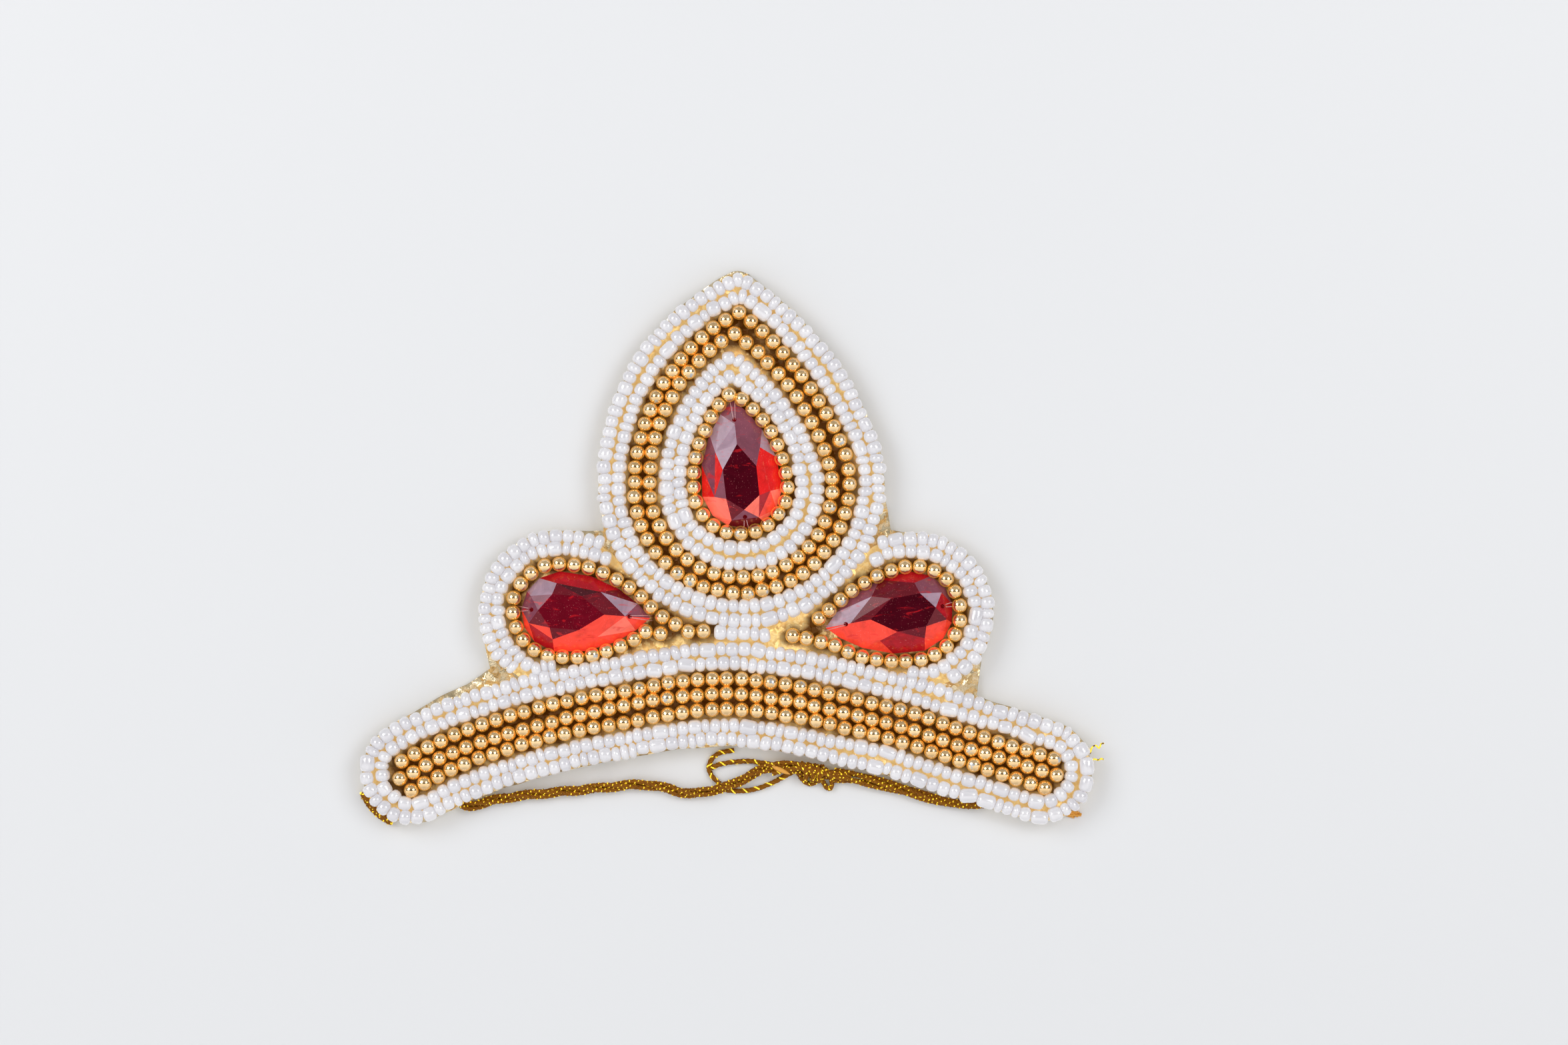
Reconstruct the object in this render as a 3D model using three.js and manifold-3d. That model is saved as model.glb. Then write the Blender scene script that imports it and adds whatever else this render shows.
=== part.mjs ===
// Flat beaded tiara with three red drop stones and a gold tie cord.
// It lies on its back: +Z is the beaded face, +Y points to the crest's tip, +X to the right arm.
// The origin is the centre of its outline, on the surface it lies on. Sizes are millimetres.
import * as THREE from 'three';
import { mergeVertices } from 'three/addons/utils/BufferGeometryUtils.js';
import Module from 'manifold-3d';

const wasm = await Module();
wasm.setup();

// Layers, from the back up
const BOARD_THICK = 1.6;
const CLOTH_THICK = 1.0;
const LAYER_GAP = 0.25;
const CLOTH_BASE = BOARD_THICK + LAYER_GAP;
const FACE = CLOTH_BASE + CLOTH_THICK;
const BEAD_BASE = FACE + LAYER_GAP;

// Beads
const GOLD_BEAD_R = 1.45;
const GOLD_BEAD_PITCH = 3.07;
const THREAD_R = 0.4;
const GOLD_ROW_R = 1.4;
const WHITE_ROW_R = 1.15;
const BEAD_SIDES = 10;
const ROW_SIDES = 8;
const ROW_END_GAP = 0.3;

// Browband: a slender crescent about a centreline, with rows of beads beside it
const BAND_CENTRELINE = [
  { x: -64.2, y: -46.1 },
  { x: -57, y: -42.5 },
  { x: -48, y: -39.1 },
  { x: -36, y: -35.7 },
  { x: -24, y: -33.2 },
  { x: -12, y: -31.1 },
  { x: 0, y: -30.1 },
  { x: 12, y: -31.3 },
  { x: 24, y: -33.8 },
  { x: 36, y: -36.7 },
  { x: 48, y: -40.7 },
  { x: 57, y: -43.5 },
  { x: 64.3, y: -45.8 },
];
const BAND_GOLD_PITCH = 3.14;
const BAND_GOLD_END = 2.2;
const BAND_WHITE_INNER = 6.2;
const BAND_WHITE_OUTER = 9.08;
const BAND_EDGE = 10.5;
const CLOTH_INSET = 0.5;

// Crest: nested drops with rounded tips. leave is how far round its circle, in degrees,
// the right side runs before it turns to the tip
const TIP_ROUND = 2.3;
const CREST = { x: 2.95, y: 12.5 };
const CREST_ROWS = {
  bezel: { radius: 9.58, height: 19.2, dy: -0.3, tilt: 6, leave: 0 },
  white_1: { radius: 12.48, height: 23.1, dy: -0.4, tilt: 6, leave: 2 },
  white_2: { radius: 15.41, height: 27.1, dy: -0.6, tilt: 5, leave: 10 },
  gold_inner: { radius: 18.75, height: 31.5, dy: 0, tilt: 1.5, leave: 24 },
  gold_outer: { radius: 22, height: 35.5, dy: 0, tilt: 0, leave: 25 },
  white_3: { radius: 25.05, height: 39, dy: 0.35, tilt: 0, leave: 24 },
  white_4: { radius: 28.05, height: 42.5, dy: 0.3, tilt: 0.5, leave: 21 },
  cloth: { radius: 28.9, height: 43.6, dy: 0.1, tilt: 0.5, leave: 21 },
  edge: { radius: 29.4, height: 44.7, dy: 0.1, tilt: 0.5, leave: 20 },
};

// Side lobes: smaller drops laid over, with their tips towards the middle
const LOBES = {
  left: { x: -34.2, y: -13.1, tilt: -94 },
  right: { x: 38.1, y: -13.6, tilt: 100.5 },
};
const LOBE_ROWS = {
  bezel: { radius: 9.5, height: 20.75 },
  white_1: { radius: 12.6, height: 25 },
  white_2: { radius: 15.2, height: 29 },
};
const LOBE_CLOTH_R = 15.9;
const LOBE_EDGE_R = 16.5;
const ROW_CLEAR = 2 * WHITE_ROW_R + 0.3;
const BEZEL_CLEAR = GOLD_BEAD_R + WHITE_ROW_R + 0.2;

// The gold string of each lobe opens at its drop's tip and runs on as a short tail
const LOBE_TAILS = {
  left: {
    drop_reach: 18.1,
    before: [{ x: -4.4, y: -17.3 }, { x: -7.5, y: -17.4 }, { x: -10.6, y: -15.7 }, { x: -13.4, y: -14.1 }],
    after: [{ x: -13.5, y: -17.5 }],
  },
  right: {
    drop_reach: 17.9,
    before: [{ x: 17.6, y: -15.8 }],
    after: [{ x: 18, y: -19.1 }, { x: 15.2, y: -18.3 }, { x: 11.9, y: -18 }],
  },
};
const CENTRE_FILL = { from: -1.9, to: 7.9, y: -17.9, r: 1.1 };

// Foil-covered corners of the board that fill the notches between its round parts
const WEBS = {
  upper_left: [{ x: -35, y: 3.3 }, { x: -25.4, y: 3.3 }, { x: -25.2, y: 6.2 }, { x: -20, y: -4 },
    { x: -30, y: -6 }],
  upper_right: [{ x: 32.3, y: 11 }, { x: 33.1, y: 6.9 }, { x: 33.6, y: 3.5 }, { x: 37, y: 3 },
    { x: 34, y: -6 }, { x: 26, y: 0 }],
  lower_left: [{ x: -50.3, y: -17 }, { x: -48.5, y: -24.9 }, { x: -53.3, y: -28.2 }, { x: -58.8, y: -30.6 },
    { x: -64.2, y: -33.9 }, { x: -68.2, y: -36 }, { x: -60, y: -40 }, { x: -40, y: -32 }, { x: -42, y: -20 }],
  lower_right: [{ x: 52.3, y: -22.4 }, { x: 51.2, y: -30.4 }, { x: 54.8, y: -32 }, { x: 50, y: -36 },
    { x: 38, y: -32 }, { x: 42, y: -22 }],
};

// Stones: flat-backed drops with a table, a ring of crown points and two sewing holes
const STONE = { radius: 7.7, height: 17.2, girdle: 0.9, crown: 2.7, thick: 4.3, hole_r: 0.45 };
const STONE_TABLE = [{ t: 8.8, s: 0 }, { t: 3.9, s: 3.45 }, { t: -2.1, s: 3.4 }, { t: -4.7, s: 0 }];
const STONE_CROWN = [{ t: 13, s: 0 }, { t: 7.7, s: 4.6 }, { t: -1.4, s: 5.75 }, { t: -6.5, s: 2.8 }];
const STONE_RIM = [0, 17, 38, 66, 97, 128, 154, 180];
const STONE_HOLES = [13.9, -6.15];
const STONES = {
  centre: { x: 3.07, y: 12.15, tilt: 6.3 },
  left: { x: -33.7, y: -13.3, tilt: -94 },
  right: { x: 38, y: -13.3, tilt: 100.5 },
};

// Tie cord: routes on the surface that the tiara lies on, x and y
const CORD = { left_r: 1.2, right_r: 1.7, strand_r: 0.6 };
const CORD_LEFT = [
  [-53.2, -54], [-50.4, -52.8], [-47.2, -51.8], [-43, -51.1], [-39.6, -50.7], [-35.5, -50.3],
  [-31.4, -49.9], [-27.3, -49.5], [-23.3, -49.1], [-19.2, -48.7], [-15.8, -48.8], [-12.4, -49.4],
  [-9.6, -50.2], [-6.9, -50.5], [-4.2, -50.1], [-0.8, -49.3], [2, -48.3], [4.7, -46.8], [7.4, -45.6],
  [10.2, -45.1], [13.6, -45.4],
];
const CORD_RIGHT = [
  [22.1, -47.1], [25.4, -47.5], [28.4, -48.1], [31.4, -48.9], [34.2, -49.8], [37, -50.7],
  [39.8, -51.8], [42.6, -52.8], [45.4, -53.9],
];
const CORD_LOOP = [
  [0.4, -41.9], [-1.4, -42], [-2.8, -42.9], [-3.6, -44], [-3.8, -45.2], [-3.4, -46.4], [-2.6, -47.3],
];
const CORD_STRAND = [
  [-2.2, -44.5], [0, -44.2], [2, -44], [4.2, -43.6], [6.4, -43], [8.6, -42.9], [10.6, -42.8],
];
const CORD_TAIL = [[1.6, -50.9], [4.2, -50.2], [7, -49.4], [9.8, -48.6], [12.4, -47.9]];
const KNOT = { x: 17.8, y: -46.6, half_x: 3.9, half_y: 2.6, half_z: 2 };
const EDGE_WRAP = { x: -64.2, y: -46.1, radius: 11.45, from: 199, to: 252, r: 0.65 };

const MATERIALS = {
  foil: new THREE.MeshStandardMaterial({ color: 0xc9b184, roughness: 0.3, metalness: 0.9 }),
  cloth: new THREE.MeshStandardMaterial({ color: 0xd9b878, roughness: 0.7, metalness: 0.1 }),
  gold: new THREE.MeshStandardMaterial({ color: 0xe0b063, roughness: 0.2, metalness: 1 }),
  pearl: new THREE.MeshStandardMaterial({ color: 0xf1eef0, roughness: 0.25, metalness: 0 }),
  ruby: new THREE.MeshStandardMaterial({ color: 0xa80f16, roughness: 0.08, metalness: 0.3 }),
  cord: new THREE.MeshStandardMaterial({ color: 0xa8720f, roughness: 0.5, metalness: 0.5 }),
};

const tiara = new THREE.Group();
tiara.name = 'beaded_tiara';

function add(name, geometry, material) {
  const mesh = new THREE.Mesh(geometry, material);
  mesh.name = name;
  tiara.add(mesh);
}

function toSolid(geometry) {
  const bare = geometry.clone();
  bare.deleteAttribute('normal');
  bare.deleteAttribute('uv');
  const merged = mergeVertices(bare, 1e-4);
  return new wasm.Manifold(new wasm.Mesh({
    numProp: 3,
    vertProperties: new Float32Array(merged.attributes.position.array),
    triVerts: new Uint32Array(merged.index.array),
  }));
}

function toGeometry(solid) {
  const mesh = solid.getMesh();
  const geometry = new THREE.BufferGeometry();
  geometry.setAttribute('position', new THREE.BufferAttribute(mesh.vertProperties, 3));
  geometry.setIndex(new THREE.BufferAttribute(mesh.triVerts, 1));
  return geometry;
}

// Upright plate with the plan that the points give
function plate(points, base, top) {
  const plan = new THREE.Shape(points.map((p) => new THREE.Vector2(p.x, p.y)));
  const geometry = new THREE.ExtrudeGeometry(plan, { depth: top - base, bevelEnabled: false });
  geometry.translate(0, 0, base);
  return geometry;
}

// The points that an outline needs: one wherever it has turned or run far enough
function spare(points, turn = 12, longest = 12) {
  const most = THREE.MathUtils.degToRad(turn);
  const kept = [points[0]];
  let bend = 0;
  for (let i = 1; i < points.length - 1; i += 1) {
    const before = points[i].clone().sub(points[i - 1]);
    const after = points[i + 1].clone().sub(points[i]);
    bend += Math.abs(Math.atan2(before.cross(after), before.dot(after)));
    if (bend >= most || points[i].distanceTo(kept.at(-1)) >= longest) {
      kept.push(points[i]);
      bend = 0;
    }
  }
  return kept;
}

function joined(geometries) {
  const solids = geometries.map(toSolid);
  return toGeometry(solids.slice(1).reduce((sum, next) => sum.add(next), solids[0]));
}

// Where a side arc of a drop starts its turn to the tip: it touches the circle at the leave angle
function sideArc(radius, height, leave) {
  const back = (height ** 2 - radius ** 2) / (2 * (radius - height * Math.sin(leave)));
  const centre = { x: -back * Math.cos(leave), y: -back * Math.sin(leave) };
  return { centre, radius: radius + back, tip: Math.atan2(height - centre.y, -centre.x) };
}

// Closed drop outline, clockwise from its rounded tip
function dropOutline(row, place, step = 0.5) {
  const leave = THREE.MathUtils.degToRad(row.leave ?? 0);
  const right = sideArc(row.radius, row.height, leave);
  const left = sideArc(row.radius, row.height, 0);
  const right_tip = right.tip - TIP_ROUND / right.radius;
  const left_tip = Math.PI - left.tip + TIP_ROUND / left.radius;
  const path = new THREE.Path();
  path.absarc(right.centre.x, right.centre.y, right.radius, right_tip, leave, true);
  path.absarc(0, 0, row.radius, leave, -Math.PI, true);
  path.absarc(-left.centre.x, left.centre.y, left.radius, Math.PI, left_tip, true);
  const start = path.getPoint(0);
  path.quadraticCurveTo(0, row.height, start.x, start.y);
  const tilt = THREE.MathUtils.degToRad(row.tilt ?? place.tilt);
  const middle = new THREE.Vector2(0, 0);
  const move = new THREE.Vector2(place.x, place.y + (row.dy ?? 0));
  const count = Math.round(path.getLength() / step);
  return path.getSpacedPoints(count).slice(0, -1).map((p) => p.rotateAround(middle, tilt).add(move));
}

function circle(place, radius, count = 48) {
  return Array.from({ length: count }, (_, i) => {
    const angle = (i / count) * 2 * Math.PI;
    return new THREE.Vector2(place.x + radius * Math.cos(angle), place.y + radius * Math.sin(angle));
  });
}

const bandCurve = new THREE.SplineCurve(BAND_CENTRELINE.map((p) => new THREE.Vector2(p.x, p.y)));

// Line beside the band's centreline, left to right
function bandLine(offset, step = 0.5) {
  const count = Math.round(bandCurve.getLength() / step);
  return Array.from({ length: count + 1 }, (_, i) => {
    const tangent = bandCurve.getTangentAt(i / count);
    const aside = new THREE.Vector2(-tangent.y, tangent.x).multiplyScalar(offset);
    return bandCurve.getPointAt(i / count).add(aside);
  });
}

// Closed outline round the band at one distance from its centreline, clockwise
function bandOutline(offset, step = 0.5) {
  const cap = (u, turn) => {
    const end = bandCurve.getPointAt(u);
    const tangent = bandCurve.getTangentAt(u);
    const first = Math.atan2(tangent.y, tangent.x) + turn;
    const count = Math.round((Math.PI * offset) / step);
    return Array.from({ length: count - 1 }, (_, i) => {
      const angle = first - (Math.PI * (i + 1)) / count;
      return new THREE.Vector2(end.x + offset * Math.cos(angle), end.y + offset * Math.sin(angle));
    });
  };
  return [
    ...bandLine(offset, step),
    ...cap(1, Math.PI / 2),
    ...bandLine(-offset, step).reverse(),
    ...cap(0, -Math.PI / 2),
  ];
}

function extended(line, length) {
  const beyond = (end, inner) => end.clone().add(end.clone().sub(inner).setLength(length));
  return [beyond(line[0], line[1]), ...line, beyond(line.at(-1), line.at(-2))];
}

// The longest stretch of a line that keeps clear of other lines
function clearStretch(line, others, clearance) {
  const isClear = line.map((p) => others.every((other) => other.every((q) => p.distanceTo(q) > clearance)));
  let best = [];
  let run = [];
  for (let i = 0; i < 2 * line.length; i += 1) {
    const at = i % line.length;
    run = isClear[at] ? [...run, line[at]] : [];
    if (run.length > best.length && run.length <= line.length) best = run;
  }
  return best;
}

// Places along a line at given distances, with the way that it runs there
function travel(line, closed) {
  const points = closed ? [...line, line[0]] : line;
  const reach = [0];
  for (let i = 1; i < points.length; i += 1) reach.push(reach[i - 1] + points[i].distanceTo(points[i - 1]));
  const total = reach.at(-1);
  const point = (distance) => {
    const d = closed ? ((distance % total) + total) % total : THREE.MathUtils.clamp(distance, 0, total);
    let i = 1;
    while (i < points.length - 1 && reach[i] < d) i += 1;
    return points[i - 1].clone().lerp(points[i], (d - reach[i - 1]) / (reach[i] - reach[i - 1]));
  };
  const at = (distance) => {
    const ahead = point(distance + 0.3);
    const way = ahead.sub(point(distance - 0.3)).normalize();
    return { point: point(distance), way };
  };
  return { total, at };
}

// Solid through rings of one number of sides, closed by flat ends
function ringSolid(rings, sides, height) {
  const positions = [];
  for (const { point, way, radius } of rings) {
    for (let k = 0; k < sides; k += 1) {
      const angle = (2 * Math.PI * k) / sides;
      const aside = radius * Math.cos(angle);
      positions.push(point.x - way.y * aside, point.y + way.x * aside, height + radius * Math.sin(angle));
    }
  }
  const index = [];
  for (let i = 0; i < rings.length - 1; i += 1) {
    for (let k = 0; k < sides; k += 1) {
      const a = i * sides + k;
      const b = i * sides + ((k + 1) % sides);
      index.push(a, b, a + sides, b, b + sides, a + sides);
    }
  }
  const last = (rings.length - 1) * sides;
  for (let k = 1; k < sides - 1; k += 1) {
    index.push(0, k + 1, k);
    index.push(last, last + k, last + k + 1);
  }
  const geometry = new THREE.BufferGeometry();
  geometry.setAttribute('position', new THREE.Float32BufferAttribute(positions, 3));
  geometry.setIndex(index);
  return geometry;
}

// A row of small beads as one even roll, with a ring wherever it has turned or run far enough
function row(line, radius, closed, turn = 16, longest = 12) {
  const run = travel(line, closed);
  const end = closed ? run.total - ROW_END_GAP : run.total;
  const most = THREE.MathUtils.degToRad(turn);
  const rings = [{ ...run.at(0), radius }];
  let from = 0;
  for (let d = 0.5; d < end - 1; d += 0.5) {
    const here = run.at(d);
    const bend = Math.acos(THREE.MathUtils.clamp(here.way.dot(rings.at(-1).way), -1, 1));
    if (bend >= most || d - from >= longest) {
      rings.push({ ...here, radius });
      from = d;
    }
  }
  rings.push({ ...run.at(end), radius });
  return ringSolid(rings, ROW_SIDES, BEAD_BASE + radius);
}

// A string of round gold beads fused on their thread
function beadString(line, closed) {
  const run = travel(line, closed);
  const count = Math.round(run.total / GOLD_BEAD_PITCH);
  const pitch = run.total / count;
  const profile = [
    { along: -0.5, radius: THREAD_R },
    { along: -0.29, radius: GOLD_BEAD_R * 0.8 },
    { along: 0, radius: GOLD_BEAD_R },
    { along: 0.29, radius: GOLD_BEAD_R * 0.8 },
  ];
  const rings = [];
  for (let bead = 0; bead < count; bead += 1) {
    const middle = (bead + 0.5) * pitch;
    for (const { along, radius } of profile) rings.push({ ...run.at(middle + along * pitch), radius });
  }
  const end = run.total - (closed ? ROW_END_GAP : 0);
  rings.push({ ...run.at(end), radius: THREAD_R });
  return ringSolid(rings, BEAD_SIDES, BEAD_BASE + GOLD_BEAD_R);
}

// Gold string of a lobe: tail, one side of the drop, its round end, the other side
function lobeString(side) {
  const drop = dropOutline(LOBE_ROWS.bezel, LOBES[side]);
  const tilt = THREE.MathUtils.degToRad(LOBES[side].tilt);
  const tip_way = new THREE.Vector2(-Math.sin(tilt), Math.cos(tilt));
  const middle = new THREE.Vector2(LOBES[side].x, LOBES[side].y);
  const within = drop.filter((p) => p.clone().sub(middle).dot(tip_way) < LOBE_TAILS[side].drop_reach);
  const upward = side === 'left' ? within.reverse() : within;
  const toPoint = (p) => new THREE.Vector2(p.x, p.y);
  const whole = [...LOBE_TAILS[side].before.map(toPoint), ...upward, ...LOBE_TAILS[side].after.map(toPoint)];
  const smooth = new THREE.SplineCurve(whole);
  return smooth.getSpacedPoints(Math.round(smooth.getLength() / 0.5));
}

// Faceted drop: flat back, upright girdle, crown points and table
function stone(place) {
  const rim = sideArc(STONE.radius, STONE.height, 0);
  const rimPoint = (degrees) => {
    const share = degrees / 90;
    if (degrees <= 90) {
      const angle = rim.tip * (1 - share);
      return { t: rim.radius * Math.sin(angle), s: rim.radius * Math.cos(angle) + rim.centre.x };
    }
    const angle = THREE.MathUtils.degToRad(degrees - 90);
    return { t: -STONE.radius * Math.sin(angle), s: STONE.radius * Math.cos(angle) };
  };
  const mirrored = (half) => [...half, ...half.slice(1, -1).reverse().map((p) => ({ t: p.t, s: -p.s }))];
  const crown_ring = [...STONE_CROWN, ...STONE_CROWN.slice(1).reverse().map((p) => ({ t: p.t, s: -p.s }))];
  const levels = [
    { ring: mirrored(STONE_RIM.map(rimPoint)), z: BEAD_BASE },
    { ring: mirrored(STONE_RIM.map(rimPoint)), z: BEAD_BASE + STONE.girdle },
    { ring: crown_ring, z: BEAD_BASE + STONE.crown },
    { ring: mirrored(STONE_TABLE), z: BEAD_BASE + STONE.thick },
  ];
  const positions = [];
  const starts = [];
  for (const { ring, z } of levels) {
    starts.push(positions.length / 3);
    for (const p of ring) positions.push(p.s, p.t, z);
  }
  const index = [];
  const face = (...ids) => {
    for (let i = 1; i < ids.length - 1; i += 1) index.push(ids[0], ids[i + 1], ids[i]);
  };
  const count = levels[0].ring.length;
  face(...Array.from({ length: count }, (_, i) => count - 1 - i));
  const girdle = (i) => starts[1] + (i + count) % count;
  const crown = (i) => starts[2] + (i + 7) % 7;
  const table = (i) => starts[3] + (i + 6) % 6;
  for (let i = 0; i < count; i += 1) {
    const next = (i + 1) % count;
    face(i, next, girdle(i + 1), girdle(i));
  }
  // Girdle facets: each crown point owns a fan of rim edges, listed from the tip clockwise
  const fans = [[-1, 1], [1, 3], [3, 5], [5, 7], [7, 9], [9, 11], [11, 13]];
  fans.forEach(([from, to], owner) => {
    for (let i = from; i < to; i += 1) face(girdle(i), girdle(i + 1), crown(owner));
    face(crown(owner), girdle(to), crown(owner + 1));
  });
  // Main facets between the crown ring and the table, one side and then the other
  const star = (a, b, owner) => face(crown(owner), table(b), table(a));
  face(crown(0), crown(1), table(1), table(0));
  star(1, 2, 2);
  star(2, 3, 3);
  star(3, 4, 4);
  star(4, 5, 5);
  face(crown(6), crown(0), table(0), table(5));
  face(crown(1), crown(2), table(1));
  face(crown(2), crown(3), table(2));
  face(crown(3), crown(4), table(3));
  face(crown(4), crown(5), table(4));
  face(crown(5), crown(6), table(5));
  face(table(0), table(1), table(2), table(3), table(4), table(5));
  const geometry = new THREE.BufferGeometry();
  geometry.setAttribute('position', new THREE.Float32BufferAttribute(positions, 3));
  geometry.setIndex(index);
  const holes = STONE_HOLES.map((t) => {
    const hole = new THREE.CylinderGeometry(STONE.hole_r, STONE.hole_r, 3 * STONE.thick, 8);
    return toSolid(hole.rotateX(Math.PI / 2).translate(0, t, BEAD_BASE + STONE.thick / 2));
  });
  const drilled = toGeometry(holes.reduce((rest, hole) => rest.subtract(hole), toSolid(geometry)));
  return drilled.rotateZ(THREE.MathUtils.degToRad(place.tilt)).translate(place.x, place.y, 0);
}

// Round cord along a route, resting on the surface at the given height of its middle
function cord(route, radius, height = radius) {
  const curve = new THREE.CatmullRomCurve3(route.map(([x, y]) => new THREE.Vector3(x, y, height)));
  const section = new THREE.Shape();
  section.absarc(0, 0, radius, 0, 2 * Math.PI, false);
  const steps = Math.round(curve.getLength() / (5 * radius));
  const round = new THREE.Shape(section.getSpacedPoints(8).slice(0, -1));
  return new THREE.ExtrudeGeometry(round, { steps, bevelEnabled: false, extrudePath: curve });
}

// Board and cloth
const middle_block = [{ x: -22, y: -6 }, { x: 26, y: -6 }, { x: 26, y: -28 }, { x: -22, y: -28 }];
add('backing_board', joined([
  plate(spare(bandOutline(BAND_EDGE)), 0, BOARD_THICK),
  plate(spare(dropOutline(CREST_ROWS.edge, CREST)), 0, BOARD_THICK),
  plate(circle(LOBES.left, LOBE_EDGE_R, 30), 0, BOARD_THICK),
  plate(circle(LOBES.right, LOBE_EDGE_R, 30), 0, BOARD_THICK),
  plate(middle_block, 0, BOARD_THICK),
  ...Object.values(WEBS).map((web) => plate(web, 0, BOARD_THICK)),
]), MATERIALS.foil);
add('face_cloth', joined([
  plate(spare(bandOutline(BAND_EDGE - CLOTH_INSET)), CLOTH_BASE, FACE),
  plate(spare(dropOutline(CREST_ROWS.cloth, CREST)), CLOTH_BASE, FACE),
  plate(circle(LOBES.left, LOBE_CLOTH_R, 30), CLOTH_BASE, FACE),
  plate(circle(LOBES.right, LOBE_CLOTH_R, 30), CLOTH_BASE, FACE),
  plate(middle_block, CLOTH_BASE, FACE),
]), MATERIALS.cloth);

// Stones and the gold strings round them
for (const [name, place] of Object.entries(STONES)) add(`stone_${name}`, stone(place), MATERIALS.ruby);
const lobe_strings = { left: lobeString('left'), right: lobeString('right') };
add('bezel_centre', beadString(dropOutline(CREST_ROWS.bezel, CREST), true), MATERIALS.gold);
add('bezel_left', beadString(lobe_strings.left, false), MATERIALS.gold);
add('bezel_right', beadString(lobe_strings.right, false), MATERIALS.gold);

// Crest rows
for (const name of ['gold_inner', 'gold_outer']) {
  add(`crest_${name}`, row(dropOutline(CREST_ROWS[name], CREST), GOLD_ROW_R, true, 15), MATERIALS.gold);
}
for (const name of ['white_1', 'white_2', 'white_3', 'white_4']) {
  add(`crest_${name}`, row(dropOutline(CREST_ROWS[name], CREST), WHITE_ROW_R, true), MATERIALS.pearl);
}

// Band rows
const band_gold = { top: BAND_GOLD_PITCH, middle: 0, bottom: -BAND_GOLD_PITCH };
for (const [name, offset] of Object.entries(band_gold)) {
  const line = extended(bandLine(offset), name === 'middle' ? BAND_GOLD_END + 1 : BAND_GOLD_END);
  add(`band_gold_${name}`, row(line, GOLD_ROW_R, false), MATERIALS.gold);
}
add('band_white_inner', row(bandOutline(BAND_WHITE_INNER), WHITE_ROW_R, true, 20), MATERIALS.pearl);
add('band_white_outer', row(bandOutline(BAND_WHITE_OUTER), WHITE_ROW_R, true, 20), MATERIALS.pearl);

// Lobe rows stop where they reach the crest, the band or the gold string
const around = [dropOutline(CREST_ROWS.white_4, CREST), bandOutline(BAND_WHITE_OUTER)];
for (const [side, place] of Object.entries(LOBES)) {
  for (const name of ['white_1', 'white_2']) {
    const free = clearStretch(dropOutline(LOBE_ROWS[name], place), around, ROW_CLEAR);
    const line = clearStretch(free, [lobe_strings[side]], BEZEL_CLEAR);
    add(`lobe_${side}_${name}`, row(line, WHITE_ROW_R, false), MATERIALS.pearl);
  }
}
const fill_line = [CENTRE_FILL.from, CENTRE_FILL.to].map((x) => new THREE.Vector2(x, CENTRE_FILL.y));
add('centre_fill', row(fill_line, CENTRE_FILL.r, false), MATERIALS.pearl);

// Tie cord, its knot, small loop and loose strands, and the stretch glued round the left end
add('tie_cord_left', cord(CORD_LEFT, CORD.left_r), MATERIALS.cord);
add('tie_cord_right', cord(CORD_RIGHT, CORD.right_r), MATERIALS.cord);
add('tie_loop', cord(CORD_LOOP, CORD.strand_r), MATERIALS.cord);
add('tie_strand', cord(CORD_STRAND, CORD.strand_r), MATERIALS.cord);
add('tie_tail', cord(CORD_TAIL, CORD.strand_r), MATERIALS.cord);
const knot = new THREE.SphereGeometry(1, 10, 6);
knot.scale(KNOT.half_x, KNOT.half_y, KNOT.half_z).translate(KNOT.x, KNOT.y, KNOT.half_z);
add('tie_knot', knot, MATERIALS.cord);
const wrap_route = Array.from({ length: 6 }, (_, i) => {
  const angle = THREE.MathUtils.degToRad(THREE.MathUtils.lerp(EDGE_WRAP.from, EDGE_WRAP.to, i / 5));
  return [EDGE_WRAP.x + EDGE_WRAP.radius * Math.cos(angle), EDGE_WRAP.y + EDGE_WRAP.radius * Math.sin(angle)];
});
add('edge_wrap', cord(wrap_route, EDGE_WRAP.r, 0.9), MATERIALS.cord);

export default tiara;
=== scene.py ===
# %% [markdown]
# # A beaded tiara, piece by piece
# The tiara is a flat board wrapped in gold foil, with rows of gold and white beads and three red
# drop stones sewn on its face. It lies on its back, so +Z is the beaded face and +Y points to the
# crest's tip. This lesson lays every bead on a named curve, because a bead row on the real piece
# is a thread that was laid along a drawn line and stitched down.

# %% Load the frame
import math

import bmesh
import bpy
import numpy as np
from mathutils import Matrix, Vector, noise


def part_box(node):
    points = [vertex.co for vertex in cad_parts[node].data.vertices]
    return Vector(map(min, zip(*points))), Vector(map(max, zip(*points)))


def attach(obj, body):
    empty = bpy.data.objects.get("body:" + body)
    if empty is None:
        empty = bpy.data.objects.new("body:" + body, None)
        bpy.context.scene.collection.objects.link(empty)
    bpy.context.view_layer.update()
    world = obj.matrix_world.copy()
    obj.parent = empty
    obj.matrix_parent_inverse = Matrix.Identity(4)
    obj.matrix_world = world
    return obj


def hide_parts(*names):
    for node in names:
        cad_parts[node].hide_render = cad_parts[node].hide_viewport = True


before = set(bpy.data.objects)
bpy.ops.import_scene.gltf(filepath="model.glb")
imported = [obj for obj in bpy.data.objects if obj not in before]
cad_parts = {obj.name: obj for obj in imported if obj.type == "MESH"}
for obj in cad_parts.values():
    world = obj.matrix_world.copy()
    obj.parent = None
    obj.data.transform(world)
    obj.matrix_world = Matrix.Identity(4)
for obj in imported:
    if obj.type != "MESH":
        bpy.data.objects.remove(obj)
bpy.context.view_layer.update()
MM = 0.001

# %% [markdown]
# ## The camera
# The picture looks straight at the face from about 0.9 m, so lines hardly converge. A 100 mm lens
# does the same here. The camera could be aimed by a constraint, but its place is simple enough
# to state: straight back from the point it looks at, with a slight lean.

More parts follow.
